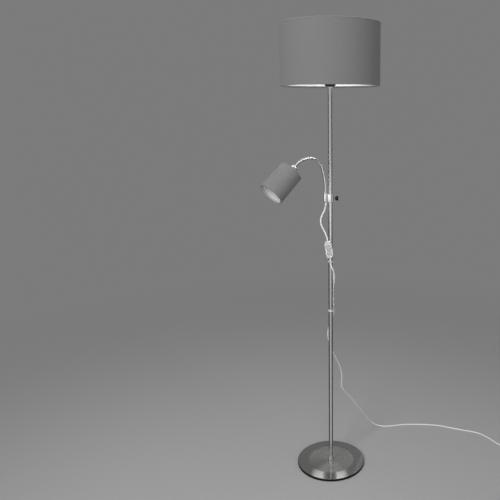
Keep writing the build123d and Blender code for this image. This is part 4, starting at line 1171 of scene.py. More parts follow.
@dataclass
class Bulb:
    """Frosted bulb: a threaded cap, and glass that goes from its neck into a round crown."""

    name: str
    place: Place
    start: float
    cap_length: float
    cap_radius: float
    length: float
    crown: float
    pitch: float
    body: str

    def glass(self) -> np.ndarray:
        """Profile of the glass: a soft step off the cap, a tangent line and a circle to the top."""
        foot = self.start + self.cap_length
        centre = foot + self.length - self.crown
        neck = self.cap_radius * 0.96
        touch = math.atan2(-(centre - foot), neck) + math.acos(self.crown / math.hypot(neck, centre - foot))
        angle = np.linspace(touch, np.pi / 2, 40)
        arc = np.stack([self.crown * np.cos(angle), centre + self.crown * np.sin(angle)], 1)
        arc[-1, 0] = 0.0
        neck_line = np.array([(neck * 0.9, foot), (neck, foot + 0.8 * MM)])
        return np.vstack([neck_line, arc])

    def build(self, glass_node: str, cap_node: str) -> None:
        """Make the glass and the cap, whose radius follows a helix: a cosine of height less angle."""
        outer = self.glass()
        inner = outer - np.array((0.9 * MM, 0.0)) * (outer[:, :1] > 2 * MM)
        inner[-1] = (0.0, outer[-1, 1] - 0.9 * MM)
        shell = turned(np.vstack([inner[::-1], outer]), self.place, 72)
        settle(piece(f"{self.name}_glass", [shell], BULB_OPAL), self.body, "bulb_glass", glass_node)
        share = np.linspace(0, 1, 73)[:, None]
        along = self.start + self.cap_length * (0.25 + 0.72 * share)
        angle = round_angles(48)
        ease = np.clip(np.minimum(share, 1 - share) * 8, 0, 1)
        dip = 0.45 * MM * ease * (0.5 - 0.5 * np.cos(2 * np.pi * along / self.pitch - angle[None]))
        thread = Skin(self.place.at(self.cap_radius - 0.05 * MM - dip, angle[None], along))
        low = self.start + self.cap_length * 0.25
        contact = rounded(
            [
                (0.0, self.start, 0),
                (self.cap_radius / 3, self.start, 0.5 * MM),
                (self.cap_radius * 0.66, self.start + self.cap_length * 0.12, 0.8 * MM),
                (self.cap_radius - 0.05 * MM, low, 0),
            ]
        )
        high = self.start + self.cap_length * 0.97
        lid = high + 0.7 * MM
        top = np.array([(self.cap_radius - 0.05 * MM, high), (self.cap_radius * 0.9, lid), (0.0, lid)])
        parts = [thread, turned(contact, self.place, 48), turned(top, self.place, 48)]
        settle(piece(f"{self.name}_thread", parts, BULB_METAL), self.body, "bulb_metal", cap_node)


@dataclass
class WireCarrier:
    """Plate round the lampholder, spokes and a ring, welded from wire."""

    name: str
    place: Place
    body: str
    plate_bore: float
    plate_radius: float
    plate_start: float
    plate_thick: float
    ring_radius: float
    ring_along: float
    wire: float
    spoke: float
    angles: tuple[float, ...]
    spoke_along: float
    bend: float

    def spoke_path(self, angle: float) -> np.ndarray:
        """Line of one spoke: out along the plate, then round a quarter of an ellipse to the ring."""
        start = self.plate_radius - 3 * MM
        knee = self.ring_radius - self.bend
        level = np.linspace(start, knee, 12)
        flat = np.stack([level, np.full(12, self.spoke_along)], 1)
        if self.bend > 0:
            turn = np.linspace(0, np.pi / 2, 14)[1:]
            drop = self.ring_along - self.spoke_along
            out = knee + self.bend * np.sin(turn) ** 0.9
            flat = np.vstack([flat, np.stack([out, self.spoke_along + drop * (1 - np.cos(turn))], 1)])
        return self.place.at(flat[:, 0], np.full(len(flat), angle), flat[:, 1])

    def build(self, node: str) -> None:
        """Make the plate, the ring and the spokes as one piece."""
        plate = rounded(
            [
                (self.plate_bore, self.plate_start, 0),
                (self.plate_radius, self.plate_start, 0.3 * MM),
                (self.plate_radius, self.plate_start + self.plate_thick, 0.3 * MM),
                (self.plate_bore, self.plate_start + self.plate_thick, 0),
            ],
            closed=True,
        )
        skins = [turned(plate, self.place, 72, closed=True)]
        skins.append(ring(self.place, self.ring_radius, self.ring_along, self.wire, 160))
        for angle in self.angles:
            skins += ended(swept(self.spoke_path(angle), self.spoke, 14))
        settle(piece(f"{self.name}_wire", skins, WIRE_WHITE), self.body, "wire_white", node)


def ribbed(profile: np.ndarray, place: Place, ribs: int, depth: float, low: float, high: float) -> Skin:
    """Turned piece with upright grip ribs between two places: a cosine of the angle cut flat."""
    angle = round_angles(ribs * 6)
    radius, along = profile[:, :1], profile[:, 1:]
    within = ((along > low) & (along < high)) * (radius > radius.max() * 0.9)
    dip = depth * within * np.clip(0.6 - 0.9 * np.cos(ribs * angle)[None], 0, 1)
    run = steps_of(profile, True)
    girth = np.linspace(0, 2 * np.pi, len(angle) + 1) * float(radius.max())
    return Skin(place.at(radius - dip, angle[None], along), wrap_rows=True, run=run, girth=girth)


def threaded(radius: float, depth: float, pitch: float, rise: np.ndarray) -> np.ndarray:
    """Profile of a thread: the radius dips by a cosine of the height, once in each pitch."""
    dip = 0.5 - 0.5 * np.cos(2 * np.pi * (rise - rise[0]) / pitch)
    return np.stack([radius - depth * dip, rise], 1)


def fine_line(line: np.ndarray, closed: bool = False) -> np.ndarray:
    """The same line with points at most a millimetre apart, placed evenly by distance."""
    ring_line = np.vstack([line, line[:1]]) if closed else line
    run = steps_of(ring_line)
    marks = np.unique(np.concatenate([run, np.linspace(0, run[-1], int(run[-1] / MM) + 2)]))
    if closed:
        marks = marks[:-1]
    return np.stack([np.interp(marks, run, ring_line[:, k]) for k in (0, 1)], 1)


@dataclass
class MainLamp:
    """Big drum shade, its wire carrier, the lampholder on the pole and the bulb."""

    wire: float = 2.0 * MM
    spoke: float = 1.8 * MM
    spoke_bend: float = 24.0 * MM
    spoke_angles: tuple[float, ...] = (0.0, 120.0, 240.0)
    shell_bore: float = 14.0 * MM
    seam: float = 52.0

    def build(self) -> None:
        """Make the shade, the wires, the holder and the bulb."""
        self.build_shade()
        self.build_holder()

    def build_shade(self) -> None:
        """Make the cloth, the film, the top ring and the carrier."""
        shade = Extent.of("main_shade")
        seam = math.radians(self.seam)
        sizes = ShadeSizes(
            "main_shade", shade.low[2], shade.high[2], shade.radius, shade.radius, seam, "stand"
        )
        drum = Shade(sizes, WORLD)
        cloth = drum.build_cloth("main_shade")
        drum.build_film("main_lining")
        top = Extent.of("main_top_ring")
        ring_radius = top.radius - self.wire
        skin = ring(WORLD, ring_radius, (top.low[2] + top.high[2]) / 2, self.wire, 200)
        settle(piece("main_top_wire", [skin], WIRE_WHITE), "stand", "wire_white", "main_top_ring")
        carrier = Extent.of("main_carrier")
        plate_start = carrier.high[2] - 2 * self.spoke
        WireCarrier(
            name="main_carrier",
            place=WORLD,
            body="stand",
            plate_bore=19.6 * MM,
            plate_radius=25.0 * MM,
            plate_start=plate_start,
            plate_thick=1.2 * MM,
            ring_radius=ring_radius,
            ring_along=carrier.low[2] + self.wire,
            wire=self.wire,
            spoke=self.spoke,
            angles=tuple(math.radians(angle) for angle in self.spoke_angles),
            spoke_along=carrier.high[2] - self.spoke,
            bend=self.spoke_bend,
        ).build("main_carrier")

    def build_holder(self) -> None:
        """Make the black cup, the threaded shell and its nut, and the bulb."""
        cap = Extent.of("holder_cap")
        radius, low, high = cap.radius, cap.low[2], cap.high[2]
        stem, bend = 5.1 * MM, 2 * MM
        outer = rounded(
            [
                (stem, low, 0),
                (radius - 4 * MM, low, bend),
                (radius, low + 4 * MM, bend),
                (radius, high, 0.2 * MM),
            ],
            fine=8,
        )
        shelf, bore = low + 5 * MM, radius - 1.6 * MM
        inner = np.array([(stem, shelf), (bore, shelf), (bore, high)])
        skin = ribbed(wall(fine_line(outer), inner), WORLD, 36, 0.35 * MM, low + 7 * MM, high - 2 * MM)
        settle(piece("holder_cap_cup", [skin], HOLDER_BLACK), "stand", "holder_black", "holder_cap")
        shell = Extent.of("holder_shell")
        flange, low, top = shell.radius, shell.low[2], shell.high[2]
        barrel, hole, step = 19.5 * MM, 3 * MM, low + 3 * MM
        rise = low + 3.6 * MM + (top - low - 4.4 * MM) * np.linspace(0, 1, 90)
        lip = rounded([(hole, low, 0), (flange, low, 0.3 * MM), (flange, step, 0.5 * MM), (barrel, step, 0)])
        thread = threaded(barrel, 0.45 * MM, 3.2 * MM, rise)
        outer = np.vstack([lip, thread, [(barrel - 0.6 * MM, top)]])
        inner = np.array([(hole, step), (self.shell_bore, step), (self.shell_bore, top)])
        obj = lathe("holder_shell_threaded", wall(outer, inner), HOLDER_BLACK)
        settle(obj, "stand", "holder_black", "holder_shell")
        nut = Extent.of("holder_nut")
        bore = 19.6 * MM
        loop = rounded(
            [
                (bore, nut.low[2], 0),
                (nut.radius, nut.low[2], 0.6 * MM),
                (nut.radius, nut.high[2], 2 * MM),
                (bore, nut.high[2], 0.5 * MM),
            ],
            closed=True,
        )
        skin = ribbed(fine_line(loop, True), WORLD, 30, 0.8 * MM, nut.low[2] + 1 * MM, nut.high[2] - 2 * MM)
        settle(piece("holder_nut_ribbed", [skin], HOLDER_BLACK), "stand", "holder_black", "holder_nut")
        base, glass = Extent.of("main_bulb_base"), Extent.of("main_bulb")
        Bulb(
            name="main_bulb",
            place=WORLD,
            start=base.low[2],
            cap_length=base.high[2] - base.low[2],
            cap_radius=base.radius,
            length=glass.high[2] - glass.low[2],
            crown=glass.radius,
            pitch=3.62 * MM,
            body="stand",
        ).build("main_bulb", "main_bulb_base")


@dataclass
class ReadingLamp:
    """Small shade on the neck's end, with its cap, holder, wires and bulb."""

    neck: NeckPath
    cap_height: float = 25.0 * MM
    cap_radius: float = 15.0 * MM
    cap_wall: float = 1.2 * MM
    shade_start: float = 22.0 * MM
    shade_length: float = 108.0 * MM
    shade_top: float = 42.7 * MM
    shade_front: float = 45.5 * MM
    wire: float = 1.3 * MM
    seam: float = 100.0

    def place(self) -> Place:
        """Frame along the lamp's own axis, from the top of its cap."""
        point, way = self.neck.walk(self.neck.length)
        return Place(point[0], way[0], np.array((0.0, 1.0, 0.0)))

    def build(self) -> None:
        """Make every piece of the reading lamp."""
        place = self.place()
        self.build_cap(place)
        sizes = ShadeSizes(
            "reading_shade",
            self.shade_start,
            self.shade_start + self.shade_length,
            self.shade_top,
            self.shade_front,
            math.radians(self.seam),
            "head",
            hem=6.0 * MM,
            turn_in=4.5 * MM,
            rim=2.3 * MM,
            sides=160,
        )
        drum = Shade(sizes, place)
        cloth = drum.build_cloth("reading_shade")
        # The reading lining takes the darker film: painted shade.
        drum.build_film("reading_lining", finish=READING_FILM_PAINTED_SHADE)
        self.build_inside(place, drum)

    def build_cap(self, place: Place) -> None:
        """Make the bright cap and the sleeve that holds the neck's end."""
        hole = 4.15 * MM
        crown = self.cap_height / 3
        angle = np.linspace(0, np.pi / 2, 24)
        base = 6.0 * MM
        dome = np.stack(
            [base + (self.cap_radius - base) * np.sin(angle), 0.2 * MM + crown * (1 - np.cos(angle))], 1
        )
        lip = rounded(
            [
                (self.cap_radius, crown, 0),
                (self.cap_radius, self.cap_height - 3.4 * MM, 0.2 * MM),
                (self.cap_radius - 0.35 * MM, self.cap_height - 3.1 * MM, 0.1 * MM),
                (self.cap_radius, self.cap_height - 2.8 * MM, 0.2 * MM),
                (self.cap_radius, self.cap_height, 0.3 * MM),
                (self.cap_radius - self.cap_wall, self.cap_height, 0),
            ]
        )
        outer = np.vstack([[(hole, 0.0), (base - 0.6 * MM, 0.0)], dome, lip[1:-1]])
        inner = np.stack([dome[:, 0] - self.cap_wall, dome[:, 1] + self.cap_wall], 1)
        rim = (self.cap_radius - self.cap_wall, self.cap_height)
        inner = np.vstack([[(hole, 2.2 * MM)], inner[4:], [rim]])
        obj = lathe("reading_cap_dome", wall(outer, inner), CHROME, place, crease=50)
        settle(obj, "head", "bright_chrome", "reading_cap")
        stem = rounded(
            [
                (2.2 * MM, -1.5 * MM, 0),
                (5.5 * MM, -1.5 * MM, 0.4 * MM),
                (5.5 * MM, 0.0, 0),
                (4.1 * MM, 0.0, 0),
                (4.1 * MM, 10 * MM, 0.3 * MM),
                (2.2 * MM, 10 * MM, 0),
            ],
            closed=True,
        )
        obj = lathe("reading_end_sleeve", stem, CHROME, place, 64)
        settle(obj, "head", "bright_chrome", "head_ferrule")

    def build_inside(self, place: Place, drum: Shade) -> None:
        """Make the holder, its nut, the carrier, the front ring and the bulb."""
        flange_low, flange_high = self.cap_height, self.cap_height + 2 * MM
        holder, end, bore = 13.5 * MM, self.cap_height + 23 * MM, 7.7 * MM
        bulb_start = end - 21 * MM
        hole, foot, body, flange = 2.2 * MM, 10.3 * MM, holder - MM, 17 * MM
        rise = flange_high + 0.6 * MM + (end - flange_high - 1.4 * MM) * np.linspace(0, 1, 60)
        outer = np.vstack(
            [
                rounded([(hole, foot, 0), (body, foot, 0.8 * MM), (body, flange_low, 0)]),
                rounded(
                    [
                        (body, flange_low, 0),
                        (flange, flange_low, 0.3 * MM),
                        (flange, flange_high, 0.4 * MM),
                        (holder, flange_high, 0),
                    ]
                )[1:],
                threaded(holder, 0.35 * MM, 2.4 * MM, rise),
                [(holder - 0.5 * MM, end)],
            ]
        )
        socket = bulb_start - 0.3 * MM
        inner = np.array([(hole, socket), (bore, socket), (bore, end)])
        obj = lathe("reading_holder_threaded", wall(outer, inner), HOLDER_WHITE, place, 72)
        settle(obj, "head", "holder_white", "reading_holder")
        ring_along = flange_high + self.wire
        inside = float(drum.radius(self.shade_start)) - 2.2 * MM
        WireCarrier(
            name="reading_carrier",
            place=place,
            body="head",
            plate_bore=holder + 0.05 * MM,
            plate_radius=20 * MM,
            plate_start=flange_high,
            plate_thick=1.2 * MM,
            ring_radius=inside - self.wire,
            ring_along=ring_along,
            wire=self.wire,
            spoke=self.wire * 0.9,
            angles=tuple(round_angles(3)),
            spoke_along=ring_along,
            bend=0.0,
        ).build("reading_carrier")
        nut_low = ring_along + self.wire + 0.05 * MM
        nut = rounded(
            [
                (holder + 0.05 * MM, nut_low, 0),
                (20 * MM, nut_low, 0.4 * MM),
                (20 * MM, nut_low + 2.7 * MM, 0.6 * MM),
                (holder + 2 * MM, nut_low + 8 * MM, 0.5 * MM),
                (holder + 0.05 * MM, nut_low + 8 * MM, 0),
            ],
            closed=True,
        )
        skin = ribbed(fine_line(nut, True), place, 24, 0.5 * MM, nut_low + 0.3 * MM, nut_low + 3 * MM)
        settle(piece("reading_nut_ribbed", [skin], HOLDER_WHITE), "head", "holder_white", "reading_nut")
        front = self.shade_start + self.shade_length - 1.0 * MM - self.wire
        skin = ring(place, float(drum.radius(front)) - 2.2 * MM - self.wire, front, self.wire, 128)
        settle(piece("reading_front_wire", [skin], WIRE_WHITE), "head", "wire_white", "reading_front_ring")
        Bulb(
            name="reading_bulb",
            place=place,
            start=bulb_start,
            cap_length=22 * MM,
            cap_radius=6.9 * MM,
            length=56 * MM,
            crown=22.5 * MM,
            pitch=2.8 * MM,
            body="head",
        ).build("reading_bulb", "reading_bulb_base")


# ---------------------------------------------------------------- mains lead


def seen(x: float, y: float, z: float) -> tuple[float, float, float]:
    """Frame point, in metres, from a place in mm seen from the lamp's front: right, away and up."""
    turn = math.radians(-36.0)
    return (
        (x * math.cos(turn) - y * math.sin(turn)) * MM,
        (x * math.sin(turn) + y * math.cos(turn)) * MM,
        z * MM,
    )


def nurbs_line(route: list[tuple[float, float, float]], fine: int = 10) -> np.ndarray:
    """Smooth line whose control points are a route, read from Blender's own NURBS spline.

    Args:
        route: Control points, in metres.
        fine: Points of the line for each control point.

    Returns:
        Points along the line, shape (n, 3).
    """
    data = bpy.data.curves.new("route", "CURVE")
    data.dimensions = "3D"
    data.resolution_u = fine
    spline = data.splines.new("NURBS")
    spline.points.add(len(route) - 1)
    spline.points.foreach_set("co", np.array([(*spot, 1.0) for spot in route], np.float32).ravel())
    spline.order_u = 3
    spline.use_endpoint_u = True
    holder = bpy.data.objects.new("route", data)
    bpy.context.scene.collection.objects.link(holder)
    bpy.context.view_layer.update()
    mesh = bpy.data.meshes.new_from_object(holder)
    points = np.zeros(len(mesh.vertices) * 3, np.float32)
    mesh.vertices.foreach_get("co", points)
    bpy.data.objects.remove(holder)
    bpy.data.meshes.remove(mesh)
    bpy.data.curves.remove(data)
    return points.reshape(-1, 3).astype(float)


@dataclass
class Coil:
    """The put-away length: it winds in, climbs a layer and winds out again."""

    centre: tuple[float, float] = (726.0, 84.0)
    start_turn: float = -146.8
    outer: float = 37.0
    pitch: float = 5.9
    turns: float = 4.0
    floor: float = 2.8
    marks_per_turn: int = 16

    def spot(self, turn: float) -> tuple[float, float, float]:
        """Place after so many turns, seen from the front: the radius falls to half way and grows again."""
        half_way = self.turns / 2
        climb = min(max((turn - half_way) / 0.5 + 0.5, 0.0), 1.0)
        radius = self.outer - self.pitch * (half_way - abs(turn - half_way))
        height = self.floor + self.pitch * (3 - 2 * climb) * climb**2
        angle = math.radians(self.start_turn + 360 * turn)
        return (self.centre[0] + radius * math.cos(angle), self.centre[1] + radius * math.sin(angle), height)

    def route(self) -> list[tuple[float, float, float]]:
        """Control points, each a little outside the circle, so that the smooth line lies on it."""
        step = 1 / self.marks_per_turn
        swell = 1 / math.cos(math.pi * step) ** 0.5
        spots = []
        for k in range(1, int(self.turns * self.marks_per_turn)):
            x, y, z = self.spot(k * step)
            right = self.centre[0] + (x - self.centre[0]) * swell
            away = self.centre[1] + (y - self.centre[1]) * swell
            spots.append(seen(right, away, z))
        return spots

    def last(self) -> tuple[np.ndarray, np.ndarray]:
        """Where the coil ends and the direction in which it leaves."""
        end = np.array(seen(*self.spot(self.turns)))
        before = np.array(seen(*self.spot(self.turns - 1e-4)))
        way = end - before
        way[2] = 0.0
        return end, unit(way)


@dataclass
class Lead:
    """Clear mains lead from the bracket through the switch and the clips, down to the floor and away."""

    diameter: float = 5.4 * MM
    switch_top: tuple[float, float, float] = (-10.2, -15.9, 861.0)
    switch_length: float = 61.5
    switch_lean: float = 8.0
    coil: Coil = field(default_factory=Coil)

    def arm_route(self, exit_spot: np.ndarray, way: np.ndarray) -> list[tuple[float, float, float]]:
        """Control points from the gland to the top of the switch."""
        lean = math.radians(self.switch_lean)
        x, y, z = self.switch_top
        return [
            tuple(exit_spot),
            tuple(exit_spot + way * 12 * MM),
            seen(-28.7, -5, 953.5),
            seen(-34.2, -7.5, 938.5),
            seen(-34.2, -10, 923.5),
            seen(-28.7, -12, 908.5),
            seen(-20.7, -14, 894.6),
            seen(-15.0, -15.4, 881),
            seen(x - 9 * math.sin(lean), y, z + 9 * math.cos(lean)),
            seen(x, y, z),
        ]

    def switch_foot(self, further: float = 0.0) -> tuple[float, float, float]:
        """Foot of the switch, or a place this far below it on the switch's own line."""
        lean = math.radians(self.switch_lean)
        x, y, z = self.switch_top
        reach = self.switch_length + further
        return seen(x + reach * math.sin(lean), y, z - reach * math.cos(lean))

    def mains_route(self) -> list[tuple[float, float, float]]:
        """Control points from the switch down the pole, across the floor and round the coil."""
        seen_route = [
            (-0.2, -15.2, 789.2),
            (-0.2, -15.2, 777),
            (4.2, -14.2, 764),
            (10.3, -8.4, 750),
            (13.0, -0.5, 733),
            (12.3, 4.5, 713),
            (11.2, 8.6, 693),
            (8.6, 11.4, 669),
            (8.9, 11.8, 641),
            (10.27, 11.2, 613),
            (10.27, 11.2, 587),
            (5, 13.9, 565),
            (-4, 14.5, 541),
            (-9.5, 11.5, 515),
            (-9, 12, 490),
            (-4.5, 14.5, 467),
            (3, 21, 442),
            (15, 36, 406),
            (34.5, 54.5, 362),
            (41, 63, 324),
            (42, 64.8, 296),
            (40, 67, 276),
            (46, 73.5, 257),
            (58, 89, 234),
            (81.5, 118.5, 195.5),
            (109, 153, 142),
            (135, 186, 93),
            (158, 215, 50),
            (172, 232, 27),
            (187, 241, 11.5),
            (206, 243, 4),
            (229, 241, 2.8),
            (262, 245, 2.8),
            (300, 255, 2.8),
            (350, 257, 2.8),
            (405, 254, 2.8),
            (455, 247, 2.8),
            (505, 226, 2.8),
            (555, 208, 2.8),
            (603, 192, 2.8),
            (630, 165, 2.8),
            (655, 125, 2.8),
            (677, 90, 2.8),
        ]
        end, way = self.coil.last()
        route = [self.switch_foot(), self.switch_foot(5.5)] + [seen(*spot) for spot in seen_route]
        route += [seen(*self.coil.spot(0)), *self.coil.route(), tuple(end), tuple(end + way * self.diameter)]
        return route

    def tube(self, name: str, line: np.ndarray) -> bpy.types.Object:
        """Round lead along a line, with its ends closed."""
        return piece(name, ended(swept(line, self.diameter / 2, 16)), CLEAR_LEAD, crease=60)

    def build(self, exit_spot: np.ndarray, way: np.ndarray) -> None:
        """Make both stretches of the lead and what is on them.

        Args:
            exit_spot: Where the lead leaves the gland.
            way: The direction in which it leaves.
        """
        arm_line = nurbs_line(self.arm_route(exit_spot, way), 14)
        arm = self.tube("arm_lead", arm_line)
        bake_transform(arm)
        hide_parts("arm_cord")
        mains_line = nurbs_line(self.mains_route(), 8)
        mains = self.tube("mains_lead", mains_line)
        settle(mains, "stand", "clear_cord", "mains_cord", "cord_coil")
        plug = Plug(*self.plug_root()).build()

    def plug_root(self) -> tuple[np.ndarray, np.ndarray]:
        """Where the lead enters the plug and the plug's direction."""
        end, way = self.coil.last()
        return end + way * self.diameter, way


@dataclass
class Plug:
    """Flat two-pin plug with a ribbed boot."""

    root: np.ndarray
    way: np.ndarray
    length: float = 62.0 * MM
    width: float = 28.0 * MM
    nose: float = 5.9 * MM
    pin: float = 2.0 * MM
    pin_length: float = 19.0 * MM
    spacing: float = 18.6 * MM

    def sections(self) -> tuple[np.ndarray, np.ndarray, np.ndarray]:
        """Half widths, half heights and places along the plug, with rings on the boot."""
        half = self.root[2] - 0.3 * MM
        marks = np.array([0.0, 0.3, 0.42, 0.56, 0.62, 0.97, 1.0]) * self.length
        nose, width = self.nose / 2, self.width / 2
        wide = [nose, nose * 1.2, nose * 1.6, width * 0.97, width, width, width * 0.93]
        high = [nose, nose * 1.1, nose * 1.5, half * 0.97, half, half, half * 0.9]
        along = np.linspace(0, 1, 121) * self.length
        rings = 0.22 * MM * (along < self.length * 0.4) * (0.5 - 0.5 * np.cos(2 * np.pi * along / (3.1 * MM)))
        return np.interp(along, marks, wide) - rings, np.interp(along, marks, high) - rings, along

    def build(self) -> list[bpy.types.Object]:
        """Make the body, whose sections are superellipses, and the two pins.

        Returns:
            The body and the pins.
        """
        side = np.cross(UP, self.way)
        wide, high, along = self.sections()
        angle = round_angles(64)
        power = np.interp(along, [0, self.length * 0.4, self.length * 0.6], [1.0, 0.95, 0.55])[:, None]
        across = np.sign(np.cos(angle)) * np.abs(np.cos(angle))[None] ** power * wide[:, None]
        rise = np.sign(np.sin(angle)) * np.abs(np.sin(angle))[None] ** power * high[:, None]
        points = self.root + along[:, None, None] * self.way + across[..., None] * side + rise[..., None] * UP
        body = piece("plug_body_moulded", ended(Skin(points)), CLEAR_PLUG, crease=50)
        settle(body, "stand", "clear_plastic", "plug_body")
        skins = []
        for sign in (-1, 1):
            start = self.root + self.way * self.length + side * sign * self.spacing / 2
            end = self.pin_length
            profile = rounded(
                [(0.0, -MM, 0), (self.pin, -MM, 0), (self.pin, end, MM), (0.0, end, 0)]
            )
            skins.append(turned(profile, Place(start, self.way, UP), 32))
        pins = piece("plug_pins_turned", skins, BRASS)
        settle(pins, "stand", "pin_brass", "plug_pins")
        return [body, pins]


# ---------------------------------------------------------------- studio


@dataclass(frozen=True)
class Card:
    """Card round the object that only its metal sees: pale to shine in it, or dark to edge it.

    Angles are in degrees to the right of the camera, seen from the object's axis. An upright card is a
    stretch of a cylinder about the axis, and a level one a stretch of a flat ring on the floor.
    """

    name: str
    left: float
    right: float
    level: float
    near: float
    far: float
    low: float
    high: float

    def build(self, azimuth: float) -> None:
        """Make the card: angle across it, and distance and height growing together up it.

        Args:
            azimuth: The camera's own azimuth in degrees.
        """
        turn = np.radians(270.0 - azimuth + np.linspace(self.left, self.right, 25))
        share = np.linspace(0, 1, 5)[:, None]
        points = WORLD.at(
            self.near + (self.far - self.near) * share, turn[None], self.low + (self.high - self.low) * share
        )
        recipe = Recipe(self.name)
        recipe.join(recipe.glow(self.level), recipe.output.inputs["Surface"])
        MADE[self.name] = recipe.material
        obj = piece(self.name, [Skin(points, wrap_columns=False)], Finish(self.name, (0.5, 0.5, 0.5)))
        for ray in ("camera", "diffuse", "transmission", "shadow"):
            setattr(obj, f"visible_{ray}", False)

    @classmethod
    def upright(cls, name: str, sector: tuple[float, float], rise: tuple[float, float], level: float) -> Card:
        """Card that stands two metres from the axis."""
        return cls(name, *sector, level, 2.0, 2.0, *rise)

    @classmethod
    def lying(cls, name: str, sector: tuple[float, float], reach: tuple[float, float], level: float) -> Card:
        """Card that lies just above the floor."""
        return cls(name, *sector, level, *reach, 1.5 * MM, 1.5 * MM)


CARDS = (
    Card.upright("card_left", (-64.0, 34.0), (0.86, 3.4), 0.50),
    Card.upright("card_bracket", (-82.0, 14.0), (0.69, 0.84), 1.3),
    Card.upright("card_middle", (-20.0, 38.0), (0.43, 0.65), 1.3),
    Card.upright("card_right", (62.0, 74.0), (0.60, 0.84), 1.3),
    Card.upright("card_low", (-26.0, 30.0), (0.002, 0.42), 0.60),
    Card.upright("card_back", (140.0, 172.0), (0.4, 2.6), 0.50),
    Card("card_behind_right", 176.85, 178.9, 1.3, 2.6, 2.6, 1.80, 2.3),
    Card("card_behind_left", 181.55, 183.7, 1.3, 2.6, 2.6, 1.80, 2.3),
    Card.upright("card_high_left", (-80.0, -66.0), (1.9, 2.7), 9.0),
    Card.upright("card_high_right", (66.0, 78.0), (1.9, 2.7), 9.0),
    Card("card_above", 0.0, 360.0, 1.0, 0.02, 1.3, 3.0, 3.0),
    Card.upright("flag_left", (-132.0, -84.0), (0.0, 2.6), 0.015),
    Card.upright("flag_right", (78.0, 130.0), (0.0, 2.6), 0.015),
    Card.lying("floor_card_front", (-24.0, 28.0), (0.13, 1.9), 0.52),
    Card.lying("floor_flag_left", (-140.0, -52.0), (0.13, 1.9), 0.05),
    Card.lying("floor_flag_right", (52.0, 140.0), (0.13, 1.9), 0.05),
)


